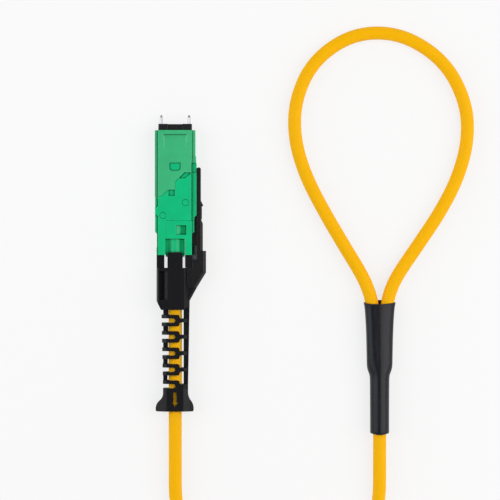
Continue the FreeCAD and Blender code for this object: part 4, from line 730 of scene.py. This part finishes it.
class LOOPBACK_OT_ferrule(bpy.types.Operator):
    """Finishes the ferrule and its pins and sets the row of fibre ends in its face"""

    bl_idname = "loopback.ferrule"
    bl_label = "Ferrule and fibres"

    # how far the polished face falls back from its upper to its lower edge, and at what angle
    FACE_DROP = 0.25 * MM
    FACE_ANGLE = math.radians(8.0)
    FIBRE_SIDES = 16

    def execute(self, context):
        settings = context.scene.loopback
        ferrule = moulded("Moulded glass-filled PPS", settings.plug.ferrule_colour, roughness=0.38,
                          edge=settings.plug.edge, highlight_gain=1.2, grain_mm=0.2,
                          Specular_IOR_Level=0.35)
        pin = metal("Ground stainless pin", linear("#B4B4B8"), roughness=0.20, line_mm=0.08,
                    across="Y", edge=0.03 * MM)
        keeper = metal("Pressed stainless keeper", linear("#B9BABD"), roughness=0.30,
                       line_mm=0.12, across="X", edge=0.05 * MM)
        block = moulded("Soft elastomer block", linear("#2A2A2C"), roughness=0.6, edge=0.05 * MM,
                        highlight_gain=0.5)
        dress(ferrule, "ferrule")
        dress(pin, "guide_pin_near", "guide_pin_far")
        dress(keeper, "pin_keeper")
        dress(block, "ferrule_boot")
        self.fibres(settings.fibre)
        return {"FINISHED"}

    def fibres(self, settings):
        glass = polished_glass("Polished glass fibre", linear("#C9D4DA"))
        sizes = {"Count": settings.count, "Pitch": settings.pitch, "Radius": settings.radius,
                 "Proud": settings.proud}
        tree, given, values = open_tree("FibreRow", sizes)
        spaces = add(tree, "ShaderNodeMath", {0: given["Count"], 1: 1.0}, operation="SUBTRACT")
        width = add(tree, "ShaderNodeMath", {0: spaces.outputs[0], 1: given["Pitch"]},
                    operation="MULTIPLY")
        left = add(tree, "ShaderNodeMath", {0: width.outputs[0], 1: -0.5}, operation="MULTIPLY")
        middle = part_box("ferrule")[1].y - self.FACE_DROP / 2
        start = add(tree, "ShaderNodeCombineXYZ", {"X": left.outputs[0], "Y": middle})
        step = add(tree, "ShaderNodeCombineXYZ", {"X": given["Pitch"]})
        row = {"Count": given["Count"], "Start Location": start.outputs[0],
               "Offset": step.outputs[0]}
        row = add(tree, "GeometryNodeMeshLine", row)
        # half of each end is sunk in the face
        tall = add(tree, "ShaderNodeMath", {0: given["Proud"], 1: 2.0}, operation="MULTIPLY")
        end = {"Vertices": self.FIBRE_SIDES, "Radius": given["Radius"], "Depth": tall.outputs[0]}
        end = add(tree, "GeometryNodeMeshCylinder", end)
        turned = {"Points": row.outputs["Mesh"], "Instance": end.outputs["Mesh"],
                  "Rotation": (math.pi / 2 - self.FACE_ANGLE, 0.0, 0.0)}
        turned = add(tree, "GeometryNodeInstanceOnPoints", turned)
        mesh = grow("fibre_ends", tree, turned.outputs["Instances"], glass, values)
        new_piece("fibre_ends", mesh, glass, "ferrule_unit")


class LOOPBACK_OT_spring(bpy.types.Operator):
    """Winds the spring behind the ferrule"""

    bl_idname = "loopback.spring"
    bl_label = "Ferrule spring"

    TURN_STEPS = 32
    WIRE_SIDES = 10

    def execute(self, context):
        settings = context.scene.loopback.spring
        steel = metal("Drawn spring wire", linear("#A9ABAE"), roughness=0.25, line_mm=0.06,
                      across="Y", edge=0.03 * MM)
        low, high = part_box("ferrule_spring")
        length = high.y - low.y - settings.wire
        sizes = {"Turns": length / settings.pitch, "Radius": (high.x - low.x - settings.wire) / 2,
                 "Length": length, "Wire": settings.wire / 2}
        tree, given, values = open_tree("SpringCoil", sizes)
        path = {"Resolution": self.TURN_STEPS, "Rotations": given["Turns"],
                "Start Radius": given["Radius"], "End Radius": given["Radius"],
                "Height": given["Length"]}
        path = add(tree, "GeometryNodeCurveSpiral", path)
        section = add(tree, "GeometryNodeCurvePrimitiveCircle",
                      {"Resolution": self.WIRE_SIDES, "Radius": given["Wire"]})
        coil = {"Curve": path.outputs["Curve"], "Profile Curve": section.outputs["Curve"],
                "Fill Caps": True}
        coil = add(tree, "GeometryNodeCurveToMesh", coil)
        laid = {"Geometry": coil.outputs["Mesh"], "Rotation": (-math.pi / 2, 0.0, 0.0),
                "Translation": (0.0, low.y + settings.wire / 2, 0.0)}
        laid = add(tree, "GeometryNodeTransform", laid)
        smooth = add(tree, "GeometryNodeSetShadeSmooth", {"Geometry": laid.outputs["Geometry"]})
        mesh = grow("spring_coil", tree, smooth.outputs["Geometry"], steel, values)
        spring = new_piece("spring_coil", mesh, steel, "plug_body")
        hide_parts("ferrule_spring")
        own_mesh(spring)
        return {"FINISHED"}


class LOOPBACK_OT_inner(bpy.types.Operator):
    """Finishes the fibres, the crimp ring and the yarn inside the plug"""

    bl_idname = "loopback.inner"
    bl_label = "Inner pieces"

    def execute(self, context):
        ring = metal("Nickel-plated ring", linear("#DAD9D4"), roughness=0.14, line_mm=0.10,
                     across="Y", edge=0.06 * MM)
        coated = fibrous("Coated fibres", linear("#DDE3E6"), strand_mm=0.25)
        yarn = fibrous("Aramid yarn", linear("#E7C64F"), strand_mm=0.12)
        dress(ring, "crimp_ring")
        dress(coated, "fibre_ribbon", "fibre_group_near", "fibre_group_far")
        dress(yarn, "strength_yarn")
        return {"FINISHED"}


class LOOPBACK_PT_panel(bpy.types.Panel):
    """Sizes, colours and build steps of the loopback"""

    bl_idname = "LOOPBACK_PT_panel"
    bl_label = "Fibre loopback"
    bl_space_type = "VIEW_3D"
    bl_region_type = "UI"
    bl_category = "Loopback"

    def draw(self, context):
        layout = self.layout
        settings = context.scene.loopback
        for group in (settings.stage, settings.plug, settings.fibre, settings.spring,
                      settings.cable, settings.sleeve):
            box = layout.box()
            for name in group.__annotations__:
                box.prop(group, name)
        for operator in OPERATORS:
            layout.operator(operator.bl_idname)


GROUPS = (
    LoopbackPlugSettings,
    LoopbackFibreSettings,
    LoopbackSpringSettings,
    LoopbackCableSettings,
    LoopbackSleeveSettings,
    LoopbackStageSettings,
    LoopbackSettings,
)
OPERATORS = (
    LOOPBACK_OT_stage,
    LOOPBACK_OT_sleeve,
    LOOPBACK_OT_cables,
    LOOPBACK_OT_housings,
    LOOPBACK_OT_boot,
    LOOPBACK_OT_ferrule,
    LOOPBACK_OT_spring,
    LOOPBACK_OT_inner,
)
CLASSES = GROUPS + OPERATORS + (LOOPBACK_PT_panel,)


def register():
    for item in CLASSES:
        bpy.utils.register_class(item)
    bpy.types.Scene.loopback = PointerProperty(
        type=LoopbackSettings, name="Loopback", description="Settings of the fibre loopback"
    )


def unregister():
    del bpy.types.Scene.loopback
    for item in reversed(CLASSES):
        bpy.utils.unregister_class(item)


def main():
    register()
    bpy.ops.loopback.stage()
    bpy.ops.loopback.sleeve()
    bpy.ops.loopback.cables()
    bpy.ops.loopback.housings()
    bpy.ops.loopback.boot()
    bpy.ops.loopback.ferrule()
    bpy.ops.loopback.spring()
    bpy.ops.loopback.inner()


if __name__ == "__main__":
    main()
